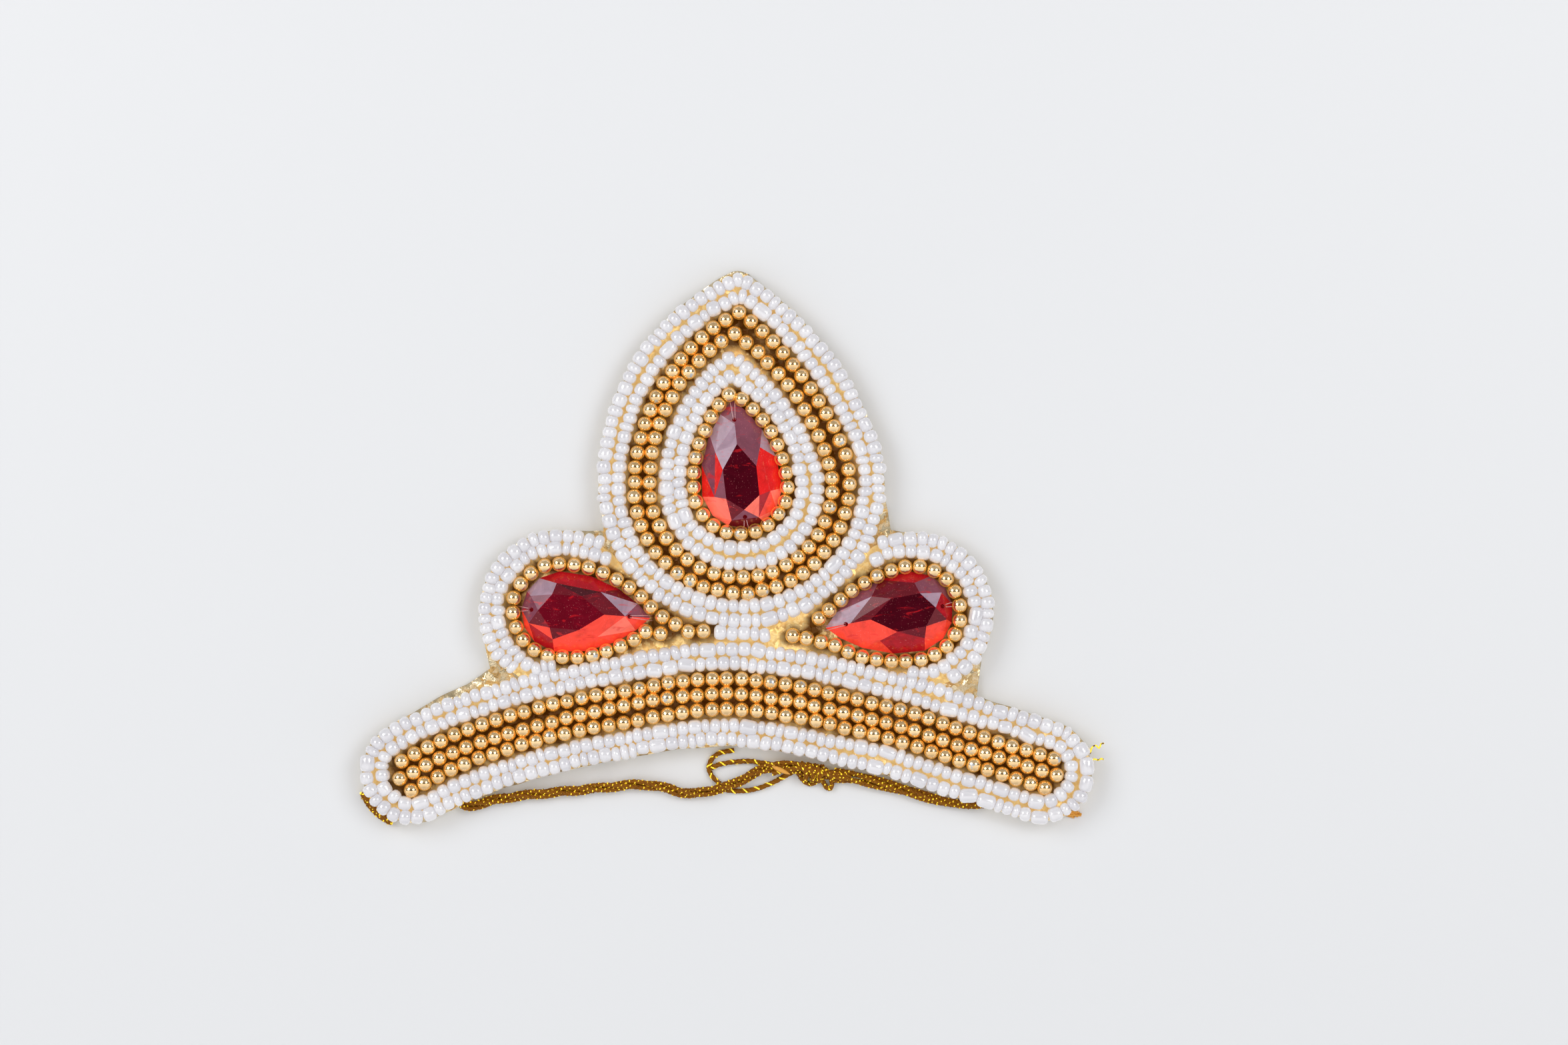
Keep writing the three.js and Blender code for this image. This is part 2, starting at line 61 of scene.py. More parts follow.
# %% Camera
LENS = 100
SENSOR = 36
CAMERA_AT = Vector((11.7, 5.0, 3.0)) * MM
CAMERA_FAR = 0.892
CAMERA_LEAN = math.radians(1.5)


def add_object(name, data):
    made = bpy.data.objects.new(name, data)
    bpy.context.scene.collection.objects.link(made)
    return made


camera_data = bpy.data.cameras.new("camera")
camera_data.lens = LENS
camera_data.sensor_width = SENSOR
camera = add_object("camera", camera_data)
away = Vector((0, -math.sin(CAMERA_LEAN), math.cos(CAMERA_LEAN)))
camera.location = CAMERA_AT + CAMERA_FAR * away
camera.rotation_euler = (CAMERA_LEAN, 0, 0)
bpy.context.scene.camera = camera
bpy.context.scene.view_settings.view_transform = "Standard"
print("camera at", [round(v, 3) for v in camera.location], "m")

# %% [markdown]
# ## Node helpers
# A material here is a short chain of procedural nodes. A few small helpers keep each chain
# readable. The main ones set a node's sockets, make a colour ramp, mix two colours and give
# the clouds that nearly every finish needs.

# %% Material helpers
def start_material(name):
    material = bpy.data.materials.new(name)
    material.use_nodes = True
    tree = material.node_tree
    return material, tree, tree.nodes["Principled BSDF"]


def wire(tree, made, values):
    """Sets sockets of a node to values, or joins them to other sockets."""
    for key, value in values.items():
        if isinstance(value, bpy.types.NodeSocket):
            tree.links.new(value, made.inputs[key])
        else:
            made.inputs[key].default_value = value


def node(tree, kind, values, **settings):
    made = tree.nodes.new("ShaderNode" + kind)
    for key, value in settings.items():
        setattr(made, key, value)
    wire(tree, made, values)
    return made


def ramp(tree, factor, stops):
    made = node(tree, "ValToRGB", {"Fac": factor})
    elements = made.color_ramp.elements
    while len(elements) < len(stops):
        elements.new(1.0)
    for element, (place, value) in zip(elements, stops):
        element.position = place
        element.color = (value, value, value, 1)
    return made.outputs["Color"]


def mix(tree, factor, a, b, blend="MIX"):
    """A mix of two colours, each a socket or three numbers."""
    a, b = (c if isinstance(c, bpy.types.NodeSocket) else (*c, 1) for c in (a, b))
    values = {0: factor, 6: a, 7: b}
    return node(tree, "Mix", values, data_type="RGBA", blend_type=blend).outputs[2]


def work_out(tree, kind, operation, *values):
    """The result of a Math or VectorMath node."""
    return node(tree, kind, dict(enumerate(values)), operation=operation).outputs[0]


def place(tree):
    return node(tree, "TexCoord", {}).outputs["Object"]


def attribute(tree, name, output="Fac"):
    return node(tree, "Attribute", {}, attribute_name=name).outputs[output]


def cloud(tree, at, scale, detail, distortion=0.0, output="Fac"):
    values = {"Vector": at, "Scale": scale, "Detail": detail, "Distortion": distortion}
    return node(tree, "TexNoise", values).outputs[output]


def bump(tree, height, strength, distance, **over):
    values = {"Height": height, "Strength": strength, "Distance": distance, **over}
    return node(tree, "Bump", values).outputs["Normal"]


def tell(material):
    print("finish:", material.name, "-", len(material.node_tree.nodes), "nodes")
    return material


# %% [markdown]
# ## Gold beads: the finish
# The real ones are hard plastic with a thin bright plating. Their colour comes almost all from
# what they mirror, so the material is a plain metal with small dents. Low on their sides the
# beads mirror each other over and over, which deepens the gold to orange; a deeper orange and a
# faint orange glow are painted on there as painted reflection. The plating is worn off at the
# holes, where the grey core shows, and on some beads in a spot on the face.

# %% Gold bead finish
GOLD_TONES = (0.89, 0.60, 0.30), (1.0, 0.73, 0.41)
GOLD_PAINTED_REFLECTION = (0.94, 0.53, 0.09)
GOLD_PAINTED_REFLECTION_GLOW = (0.12, 0.058, 0.004)
WORN_GREY = (0.56, 0.57, 0.57)
HOLE_DARK = (0.045, 0.047, 0.045)


def make_gold():
    material, tree, shader = start_material("gold plated bead")
    at = place(tree)
    # Painted reflection: low on its sides the bead turns a deeper orange, less metallic, with a
    # faint glow.
    side = ramp(tree, attribute(tree, "up"), [(0.30, 1), (0.62, 0)])
    gold = mix(tree, side, mix(tree, attribute(tree, "tone"), *GOLD_TONES), GOLD_PAINTED_REFLECTION)
    patches = cloud(tree, at, 1500, 3)
    worn_edge = work_out(tree, "Math", "MULTIPLY", attribute(tree, "worn"), patches)
    worn = ramp(tree, worn_edge, [(0.30, 0), (0.36, 1)])
    hole = ramp(tree, attribute(tree, "end"), [(0.915, 0), (0.965, 1)])
    plated_rough = mix(tree, patches, (0.06,) * 3, (0.2,) * 3)
    wire(tree, shader, {
        "Base Color": mix(tree, hole, mix(tree, worn, gold, WORN_GREY), HOLE_DARK),
        "Roughness": mix(tree, worn, plated_rough, (0.35,) * 3),
        "Metallic": mix(tree, side, (1, 1, 1), (0.62,) * 3),
        "Emission Color": mix(tree, side, (0, 0, 0), GOLD_PAINTED_REFLECTION_GLOW),
        "Emission Strength": 1,
        "Normal": bump(tree, cloud(tree, at, 620, 2), 0.35, 0.0002),
    })
    return tell(material)


GOLD = make_gold()

# %% [markdown]
# ## White beads: the finish
# These are cut glass tubes with melted ends and a pearl coat. Light goes right through their
# sides, so the edges stay brighter than the face and pick up the warm cloth. A painted glow
# stands in for that light: faint over the whole bead and stronger and warmer low on its sides.
# A clear coat gives the sharp windows of light on each bead.

# %% White bead finish
PEARL_TONES = (0.615, 0.605, 0.635), (0.71, 0.70, 0.72)
PEARL_PAINTED_GLOWS = (0.085, 0.082, 0.09), (0.19, 0.175, 0.16)
PEARL_HOLE = (0.74, 0.66, 0.55)


def make_pearl():
    material, tree, shader = start_material("pearl white glass bead")
    body = mix(tree, attribute(tree, "tone"), *PEARL_TONES)
    hole = ramp(tree, attribute(tree, "end"), [(0.97, 0), (1.0, 1)])
    # Painted glow: stronger low on the bead, for the light that passes through its sides.
    through = ramp(tree, attribute(tree, "up"), [(0.15, 1), (0.65, 0)])
    wire(tree, shader, {
        "Base Color": mix(tree, hole, body, PEARL_HOLE),
        "Roughness": 0.3,
        "Subsurface Weight": 0.6,
        "Subsurface Radius": (1.0, 0.95, 0.95),
        "Subsurface Scale": 0.0011,
        "Coat Weight": 1,
        "Coat IOR": 1.9,
        "Coat Roughness": 0.04,
        "Emission Color": mix(tree, through, *PEARL_PAINTED_GLOWS),
        "Emission Strength": 1,
        "Normal": bump(tree, cloud(tree, place(tree), 900, 2), 0.12, 0.0001),
    })
    return tell(material)


PEARL = make_pearl()

# %% [markdown]
# ## Foil and cloth: the finishes
# The board is wrapped in thin metallised foil that was pleated round its corners, and the face is
# covered with gold tissue. Both are crumpled sheets of metal: flat little facets in many
# directions. Cells of a Voronoi texture, bent by noise, each lean the surface their own way.
# Between gold beads the tissue is painted a dark brown as painted shade, where a number on
# its points says so.

# %% Foil and tissue finishes
TISSUE_PAINTED_SHADE = (0.12, 0.048, 0.004)
TISSUE_PAINTED_SHADE_GLOW = (0.008, 0.003, 0.0)


def make_crumpled(name, dark, light, metal, rough, facet_scale, tilt, glow, has_painted_shade=False):
    material, tree, shader = start_material(name)
    at = place(tree)
    drift = cloud(tree, at, facet_scale * 0.6, 3, output="Color")
    bent = work_out(tree, "VectorMath", "MULTIPLY", drift, (0.003,) * 3)
    moved = work_out(tree, "VectorMath", "ADD", at, bent)
    cells = node(tree, "TexVoronoi", {"Vector": moved, "Scale": facet_scale})
    grain = cloud(tree, at, 2600, 3)
    # Painted light and shade: each facet cell is lighter in its middle and darker towards its
    # creases.
    colour = mix(tree, cells.outputs["Distance"], light, dark)
    colour = mix(tree, grain, colour, dark, "MULTIPLY")
    # Painted shade: where the points' number says so, the tissue turns dark brown with a fainter
    # glow.
    if has_painted_shade:
        painted_shade = attribute(tree, "painted_shade")
        colour = mix(tree, painted_shade, colour, TISSUE_PAINTED_SHADE)
        glow = mix(tree, painted_shade, glow, TISSUE_PAINTED_SHADE_GLOW)
    else:
        glow = (*glow, 1)
    leaning = work_out(tree, "VectorMath", "ADD", cells.outputs["Color"], (-0.5,) * 3)
    upright = node(tree, "NewGeometry", {}).outputs["Normal"]
    facets = work_out(tree, "VectorMath", "MULTIPLY_ADD", leaning, (tilt, tilt, 0), upright)
    facet_way = work_out(tree, "VectorMath", "NORMALIZE", facets)
    wire(tree, shader, {
        "Base Color": colour,
        "Metallic": metal,
        "Roughness": rough,
        # Painted glow: lifts shaded foil, and on the tissue stands in for light through the beads.
        "Emission Color": glow,
        "Emission Strength": 1,
        "Normal": bump(tree, grain, 0.3, 0.0002, Normal=facet_way),
    })
    return tell(material)


FOIL = make_crumpled("crinkled gold foil", dark=(0.72, 0.60, 0.40), light=(1.0, 0.93, 0.78),
                     metal=0.9, rough=0.16, facet_scale=850, tilt=1.6, glow=(0.12, 0.095, 0.05))
TISSUE = make_crumpled("gold tissue", dark=(0.92, 0.67, 0.26), light=(1.0, 0.89, 0.55),
                       metal=0.55, rough=0.35, facet_scale=900, tilt=0.9,
                       glow=(0.18, 0.13, 0.06), has_painted_shade=True)

# %% [markdown]
# ## Red stones: the finish
# A drop stone is clear red glass with foil behind it. Light goes in, meets the foil and comes
# back through one facet or another, so each facet shows its own flat tone. Tracing that light
# would need many samples, so each facet keeps a painted tone of that returned light, some of them
# a painted reflection of the room, with a faint painted glow in the same tones, under a clear coat
# that mirrors the room as the real one does.

# %% Stone finish
STONE_DUST = (0.75, 0.25, 0.25)
STONE_VEIN = (0.55, 0.012, 0.016)


def make_ruby():
    material, tree, shader = start_material("red drop stone")
    at = place(tree)
    shade = ramp(tree, cloud(tree, at, 260, 4, 1.2), [(0.30, 0.72), (0.62, 1.0)])
    speck = ramp(tree, cloud(tree, at, 3800, 2), [(0.66, 0), (0.74, 0.35)])
    squeezed = node(tree, "Mapping", {"Vector": at, "Rotation": (0, 0, 0.6), "Scale": (1, 3.2, 1)})
    veins = cloud(tree, squeezed.outputs[0], 330, 3, 0.8)
    colour = mix(tree, 1.0, attribute(tree, "facet", "Color"), shade, "MULTIPLY")
    colour = mix(tree, speck, colour, STONE_DUST)
    colour = mix(tree, ramp(tree, veins, [(0.60, 0), (0.72, 0.55)]), colour, STONE_VEIN)
    wire(tree, shader, {
        # Painted glow: the facet tones also shine faintly, as light the foil sends back.
        "Base Color": colour,
        "Emission Color": colour,
        "Emission Strength": 0.25,
        "Roughness": 0.15,
        "Specular IOR Level": 0.1,
        "Coat Weight": 0.55,
        "Coat IOR": 1.4,
        "Coat Roughness": 0.02,
    })
    return tell(material)


RUBY = make_ruby()

# %% [markdown]
# ## Curves that carry the rows
# The crest's rows are nested drops: half a circle below, two arcs that lean to a tip above, and
# a small round at the tip. The band's rows run beside one centreline. Working the curves out in
# millimetres from a few named sizes keeps the picture and the solids the same.

# %% Drop outline
TIP_ROUND = 2.3
TIP_STEPS = 16
CREST = (2.95, 12.5)
ROW_SIZES = ("radius", "height", "dy", "tilt", "leave", "tip")
CREST_ROWS = {name: dict(zip(ROW_SIZES, sizes)) for name, sizes in {
    "bezel": (9.58, 19.7, -0.3, 6, 0, 1.2),
    "white_1": (12.48, 23.4, -0.4, 6, 2, 1.3),
    "white_2": (15.41, 27.3, -0.6, 5, 10, 1.2),
    "gold_inner": (18.75, 31.3, 0, 2, 19, 0.6),
    "gold_outer": (22, 35.4, 0, 0.3, 23, 0.6),
    "white_3": (25.05, 38.85, 0.35, 0, 24, 1.3),
    "white_4": (28.05, 42.45, 0.3, 0.5, 21, 0.8),
}.items()}


def arc(centre, radius, start, end, step=0.25):
    count = max(2, round(abs(end - start) * radius / step))
    angles = np.linspace(start, end, count + 1)
    return np.array(centre) + radius * np.column_stack([np.cos(angles), np.sin(angles)])


def side_arc(radius, height, leave):
    """Centre, radius and end angle of the arc from a circle's side up to the tip."""
    back = (height**2 - radius**2) / (2 * (radius - height * math.sin(leave)))
    centre = (-back * math.cos(leave), -back * math.sin(leave))
    return centre, radius + back, math.atan2(height - centre[1], -centre[0])


def turned(points, degrees, move):
    angle = math.radians(degrees)
    turn = np.array([[math.cos(angle), math.sin(angle)], [-math.sin(angle), math.cos(angle)]])
    return points @ turn + np.array(move)


def drop(size, at, tilt=0):
    """Closed drop outline, clockwise from just right of its tip."""
    radius, height, tip_round = size["radius"], size["height"], size.get("tip", TIP_ROUND)
    leave = math.radians(size.get("leave", 0))
    right, right_radius, right_tip = side_arc(radius, height, leave)
    left, left_radius, left_tip = side_arc(radius, height, 0)
    down = arc(right, right_radius, right_tip - tip_round / right_radius, leave)
    under = arc((0, 0), radius, leave, -math.pi)
    up = arc((-left[0], left[1]), left_radius, math.pi,
             math.pi - left_tip + tip_round / left_radius)
    t = np.linspace(0, 1, TIP_STEPS + 1)[1:-1, None]
    tip = (1 - t) ** 2 * up[-1] + 2 * t * (1 - t) * np.array([0, height]) + t**2 * down[0]
    line = np.vstack([down, under[1:], up[1:], tip])
    return turned(line, size.get("tilt", tilt), (at[0], at[1] + size.get("dy", 0)))


print("crest rows:", len(CREST_ROWS))

# %% Band outline
BAND_CENTRELINE = [
    (-64.2, -46.1), (-57, -42.5), (-48, -39.1), (-36, -35.7), (-24, -33.2), (-12, -31.1),
    (0, -30.1), (12, -31.3), (24, -33.8), (36, -36.7), (48, -40.7), (57, -43.5), (64.3, -45.8),
]
BAND_GOLD_PITCH = 3.14
BAND_GOLD_ENDS = {"top": (2.4, 3.3), "middle": (4.4, 4.6), "bottom": (3.4, 3.2)}
BAND_WHITE = {"inner": 6.2, "outer": 9.2}


def smooth_line(points, per_span=24):
    """Catmull-Rom curve through the points."""
    p = np.array(points, float)
    p = np.vstack([p[0], p, p[-1]])
    t = np.linspace(0, 1, per_span, endpoint=False)[:, None]
    spans = []
    for a, b, c, d in zip(p, p[1:], p[2:], p[3:]):
        v0, v1 = (c - a) / 2, (d - b) / 2
        cubic, square = 2 * b - 2 * c + v0 + v1, -3 * b + 3 * c - 2 * v0 - v1
        spans.append(cubic * t**3 + square * t**2 + v0 * t + b)
    return np.vstack([*spans, p[-1]])


def lengths(line):
    return np.concatenate([[0], np.cumsum(np.linalg.norm(np.diff(line, axis=0), axis=1))])


def evened(line, step=0.4):
    reach = lengths(line)
    at = np.linspace(0, reach[-1], max(2, round(reach[-1] / step)) + 1)
    return np.column_stack([np.interp(at, reach, line[:, k]) for k in range(line.shape[1])])


BAND = evened(smooth_line(BAND_CENTRELINE))


def beside(line, offset):
    way = np.gradient(line, axis=0)
    way /= np.linalg.norm(way, axis=1)[:, None]
    return line + offset * np.column_stack([-way[:, 1], way[:, 0]])


def band_loop(offset):
    """Closed outline round the band at one distance, clockwise."""
    def cap(end, tangent, turn):
        first = math.atan2(tangent[1], tangent[0]) + turn
        return arc(end, offset, first, first - math.pi)[1:-1]
    right = cap(BAND[-1], BAND[-1] - BAND[-2], math.pi / 2)
    left = cap(BAND[0], BAND[1] - BAND[0], -math.pi / 2)
    return np.vstack([beside(BAND, offset), right, beside(BAND, -offset)[::-1], left])


def stretched(line, before, after):
    def onward(end, inner, reach):
        return end + (end - inner) / np.linalg.norm(end - inner) * reach
    return np.vstack([onward(line[0], line[1], before), line, onward(line[-1], line[-2], after)])


print("band centreline:", round(lengths(BAND)[-1], 1), "mm")

# %% Lobe lines
LOBES = {"left": dict(at=(-34.2, -13.1), tilt=-94), "right": dict(at=(38.1, -13.6), tilt=100.5)}
LOBE_ROWS = {
    "bezel": dict(radius=9.5, height=20.75),
    "white_1": dict(radius=12.6, height=25),
    "white_2": dict(radius=15.2, height=29),
}
LOBE_TAILS = {
    "left": dict(drop_reach=18.1, after=[(-12.0, -18.0)],
                 before=[(-3.2, -17.3), (-7.5, -17.4), (-10.6, -15.7), (-13.4, -14.1)]),
    "right": dict(drop_reach=17.9, after=[(18, -19.1), (15.2, -18.3), (11.9, -18)],
                  before=[(17.6, -15.8)]),
}
ROW_CLEAR = 2.6
BEZEL_CLEAR = 2.8


def lobe_string(side):
    """The gold string of a lobe: a tail, round the drop and a short end."""
    lobe, tail = LOBES[side], LOBE_TAILS[side]
    line = drop(LOBE_ROWS["bezel"], lobe["at"], lobe["tilt"])
    angle = math.radians(lobe["tilt"])
    to_tip = np.array([-math.sin(angle), math.cos(angle)])
    line = line[(line - lobe["at"]) @ to_tip < tail["drop_reach"]]
    if side == "left":
        line = line[::-1]
    return evened(smooth_line(np.vstack([tail["before"], line[::4], tail["after"]]), 6))


def clear_stretch(line, others, clearance):
    """The longest stretch of a closed line that keeps clear of other lines."""
    gaps = [np.min(np.linalg.norm(line[:, None] - other[None], axis=2), axis=1)
            for other in others]
    clear = np.min(gaps, axis=0) > clearance
    best, run = (0, 0), 0
    for i, ok in enumerate(np.concatenate([clear, clear])):
        run = run + 1 if ok else 0
        if best[1] < run <= len(line):
            best = (i + 1 - run, run)
    return line[np.arange(best[0], sum(best)) % len(line)]


lobe_strings = {side: lobe_string(side) for side in LOBES}
print("lobe strings:", {side: round(lengths(line)[-1], 1) for side, line in lobe_strings.items()},
      "mm")

# %% [markdown]
# ## The form of a bead
# A round bead and a cut tube bead are both turned shapes: half an outline spun round the thread.
# Spinning with few steps keeps a bead to about a hundred faces, which matters when there are
# nearly a thousand of them. The middle of each end is pushed in to make the thread hole.

# %% Bead forms
GOLD_RADIUS = 1.57
WHITE_RADIUS = 1.53
WHITE_HALF = 1.0
WHITE_CORNER = 0.94
BEAD_HOLE = 0.42


def turned_bead(outline, steps):
    """Bead turned round X from (along, out) points, as its points and its faces."""
    bm = bmesh.new()
    verts = [bm.verts.new((along, out, 0)) for along, out in outline]
    edges = [bm.edges.new(pair) for pair in zip(verts, verts[1:])]
    bmesh.ops.spin(bm, geom=verts + edges, cent=(0, 0, 0), axis=(1, 0, 0), angle=2 * math.pi,
                   steps=steps, use_merge=True)
    bmesh.ops.remove_doubles(bm, verts=bm.verts, dist=1e-4)
    bmesh.ops.recalc_face_normals(bm, faces=bm.faces)
    bm.verts.index_update()
    points = np.array([v.co for v in bm.verts])
    faces = [[v.index for v in face.verts] for face in bm.faces]
    bm.free()
    return points, faces


def round_outline(rings):
    """Outline of a round gold bead from hole to hole."""
    first = math.asin(BEAD_HOLE / GOLD_RADIUS)
    angles = np.linspace(first, math.pi - first, rings)
    rim = [(-GOLD_RADIUS * math.cos(a), GOLD_RADIUS * math.sin(a)) for a in angles]
    inner = rim[0][0] + 0.5 * BEAD_HOLE
    return [(inner, 0), *rim, (-inner, 0)]


def tube_outline(hollow=0.35):
    """Outline of a cut tube with melted ends: its corners are quarter circles."""
    turns = np.radians([8, 35, 62, 90])
    corner = [(WHITE_CORNER * (1 - math.cos(a)) - WHITE_HALF,
               WHITE_RADIUS - WHITE_CORNER * (1 - math.sin(a))) for a in turns]
    side = [(-WHITE_HALF, BEAD_HOLE), *corner]
    inner = hollow - WHITE_HALF
    return [(inner, 0), *side, *[(-x, y) for x, y in reversed(side)], (-inner, 0)]


gold_form = turned_bead(round_outline(7), 12)
white_form = turned_bead(tube_outline(), 10)
print("faces of a gold bead:", len(gold_form[1]), "and of a white one:", len(white_form[1]))

# %% [markdown]
# ## Laying beads on a thread
# Each row becomes one mesh that holds a copy of the bead for every place on its line. A modifier
# could do it too, but each bead needs its own small lean, size and tone, as hand-laid beads
# have, and arrays of numbers give that quickly. The random numbers come from one
# seeded source for each row, so every run lays the same beads.

# %% Laying helpers
BEAD_BASE = 3.1
WORN_SHARE = 0.10


def at_reach(line, reach):
    """Points and directions at distances along a line."""
    whole = lengths(line)
    def point(d):
        return np.column_stack([np.interp(d, whole, line[:, k]) for k in range(2)])
    way = point(reach + 0.5) - point(reach - 0.5)
    return point(reach), way / np.linalg.norm(way, axis=1)[:, None]


def closed(line):
    return np.vstack([line, line[:1]])


def bead_places(line, centres, radius, rng, lean, stray=0.08):
    """A dictionary of arrays that says how each bead of a row lies."""
    points, way = at_reach(line, centres)
    side = np.column_stack([-way[:, 1], way[:, 0]])
    count = len(centres)
    wave = np.interp(centres, np.linspace(0, centres[-1] + 1, 9), rng.normal(0, 0.14, 9))
    points = points + side * (wave + rng.normal(0, stray, count))[:, None]
    turn = np.radians(rng.normal(0, lean, count))
    heading = way * np.cos(turn)[:, None] + side * np.sin(turn)[:, None]
    rise = np.radians(rng.normal(0, lean * 0.6, count))
    height = BEAD_BASE + radius + rng.uniform(-0.08, 0.1, count)
    return {
        "centre": np.column_stack([points, height]),
        "heading": np.column_stack([heading * np.cos(rise)[:, None], np.sin(rise)]),
        "roll": rng.uniform(0, 2 * math.pi, count),
        "tone": rng.uniform(0, 1, count),
    }


def worn_spots(away, rng):
    """Per point, how near it is to its bead's worn spot; most beads have none."""
    spot = rng.normal(0, 0.45, (len(away), 3)) + [0, 0, 1]
    spot /= np.linalg.norm(spot, axis=1)[:, None]
    away = away / np.linalg.norm(away, axis=2)[..., None]
    near = np.clip((np.einsum("nvk,nk->nv", away, spot) - 0.66) / 0.4, 0, 1)
    return near * (rng.uniform(0, 1, len(away)) < WORN_SHARE)[:, None]


# %% One mesh for a row
def add_number(mesh, name, values):
    layer = mesh.attributes.new(name, "FLOAT", "POINT")
    layer.data.foreach_set("value", values.ravel().astype(np.float32))


def finish_piece(piece, slot, *nodes):
    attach(piece, "root")
    if nodes:
        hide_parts(*nodes)


def lay_beads(name, form, local, places, rng, material, slot):
    """One mesh with a bead at every place. local holds each bead's points at its own size."""
    points, faces = form
    count, per_bead = local.shape[:2]
    x_axis = places["heading"]
    y_axis = np.cross([0.0, 0.0, 1.0], x_axis)
    y_axis /= np.linalg.norm(y_axis, axis=1)[:, None]
    z_axis = np.cross(x_axis, y_axis)
    cos, sin = np.cos(places["roll"])[:, None], np.sin(places["roll"])[:, None]
    y_axis, z_axis = y_axis * cos + z_axis * sin, z_axis * cos - y_axis * sin
    basis = np.stack([x_axis, y_axis, z_axis], axis=1)
    away = np.einsum("nvk,nkj->nvj", local, basis)
    made = away + places["centre"][:, None]
    mesh = bpy.data.meshes.new(name + "_beads")
    all_faces = [[v + i * per_bead for v in face] for i in range(count) for face in faces]
    mesh.from_pydata((made * MM).reshape(-1, 3).tolist(), [], all_faces)
    mesh.shade_smooth()
    add_number(mesh, "end", np.tile(np.abs(points[:, 0]) / np.max(points[:, 0]), count))
    add_number(mesh, "up", away[..., 2] / np.max(points[:, 1]))
    add_number(mesh, "tone", np.repeat(places["tone"], per_bead))
    add_number(mesh, "worn", worn_spots(away, rng))
    mesh.materials.append(material)
    finish_piece(add_object(mesh.name, mesh), slot, *([name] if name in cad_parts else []))
    return count


# %% Round gold rows
def gold_row(name, line, pitch, seed, first=0.5, end_to_end=False):
    """A row of round gold beads that replaces the node of the same name."""
    rng = np.random.default_rng(seed)
    total = lengths(line)[-1]
    if end_to_end:
        count = round((total - 2 * GOLD_RADIUS) / pitch) + 1
        centres = np.linspace(GOLD_RADIUS, total - GOLD_RADIUS, count)
    else:
        count = round(total / pitch)
        centres = (np.arange(count) + first) * total / count
    centres = np.clip(centres + rng.normal(0, 0.05, count), 0.6, total - 0.6)
    places = bead_places(line, centres, GOLD_RADIUS - 0.03, rng, lean=9)
    local = gold_form[0][None] * rng.normal(1, 0.012, (count, 1, 1))
    return lay_beads(name, gold_form, local, places, rng, GOLD, "gold")


def crest_line(row):
    return closed(drop(CREST_ROWS[row], CREST))


band_gold_lines = {
    name: stretched(beside(BAND, offset * BAND_GOLD_PITCH), *BAND_GOLD_ENDS[name])
    for name, offset in [("top", 1), ("middle", 0), ("bottom", -1)]}
counts = {
    "bezel_centre": gold_row("bezel_centre", crest_line("bezel"), 2.95, 11),
    "bezel_left": gold_row("bezel_left", lobe_strings["left"], 3.06, 12, end_to_end=True),
    "bezel_right": gold_row("bezel_right", lobe_strings["right"], 3.04, 13, end_to_end=True),
}
for seed, name in enumerate(["gold_inner", "gold_outer"], 21):
    counts[name] = gold_row("crest_" + name, crest_line(name), 3.06, seed, first=0.74)
for seed, (name, line) in enumerate(band_gold_lines.items(), 31):
    counts[name] = gold_row("band_gold_" + name, line, 3.03, seed, end_to_end=True)
print("gold beads:", sum(counts.values()), counts)

# %% [markdown]
# ## White rows
# Glass tube beads are cut by hand, so their lengths differ: most are a bit shorter than they are
# wide and a few are half as long again. A row draws lengths until its thread is full, then
# shares out what is left, as the maker does by pushing the beads together.

# %% White rows
LONG_SHARE = 0.07


def white_lengths(total, rng):
    drawn = []
    while sum(drawn) < total - 1.0:
        long_one = rng.uniform() < LONG_SHARE
        drawn.append(rng.uniform(2.9, 3.9) if long_one
                     else np.clip(rng.normal(2.2, 0.35), 1.6, 2.9))
    return np.array(drawn) * total / sum(drawn)


def stretch_tube(points, long, wide):
    """Copies of the tube bead at their own lengths: a long one only stretches in its middle."""
    grow = long[:, None] / 2 - WHITE_HALF
    made = points[None] * np.ones((len(long), 1, 1))
    made[..., 0] *= 1 + np.minimum(grow, 0) / WHITE_HALF
    made[..., 0] += np.sign(points[None, :, 0]) * np.maximum(grow, 0)
    made[..., 1:] *= wide[:, None, None]
    return made


def white_row(name, line, seed):
    """A row of white beads that replaces the node of the same name, if there is one."""
    rng = np.random.default_rng(seed)
    drawn = white_lengths(lengths(line)[-1], rng)
    centres = np.cumsum(drawn) - drawn / 2
    wide = np.clip(rng.normal(1, 0.05, len(drawn)), 0.88, 1.1)
    places = bead_places(line, centres, WHITE_RADIUS, rng, lean=7, stray=0.12)
    local = stretch_tube(white_form[0], drawn + 0.02, wide)
    return lay_beads(name, white_form, local, places, rng, PEARL, "pearl")


counts = {}
for seed, name in enumerate(["white_1", "white_2", "white_3", "white_4"], 41):
    counts[name] = white_row("crest_" + name, crest_line(name), seed)
for seed, (name, offset) in enumerate(BAND_WHITE.items(), 51):
    counts[name] = white_row("band_white_" + name, closed(band_loop(offset)), seed)
around = [drop(CREST_ROWS["white_4"], CREST), band_loop(BAND_WHITE["outer"])]
for seed, (side, row) in enumerate([(s, r) for s in LOBES for r in ("white_1", "white_2")], 61):
    whole = evened(closed(drop(LOBE_ROWS[row], **LOBES[side])))[:-1]
    line = clear_stretch(clear_stretch(whole, around, ROW_CLEAR), [lobe_strings[side]],
                         BEZEL_CLEAR)
    counts[f"{side} {row}"] = white_row(f"lobe_{side}_{row}", line, seed)
FILLS = {
    "centre_fill": [(-2.6, -17.6), (8.9, -17.9)],
    "lobe_left_fill": [(-39.9, -24.9), (-34.9, -24.2)],
    "lobe_right_fill": [(36.9, -25.4), (41.3, -26.2)],
}
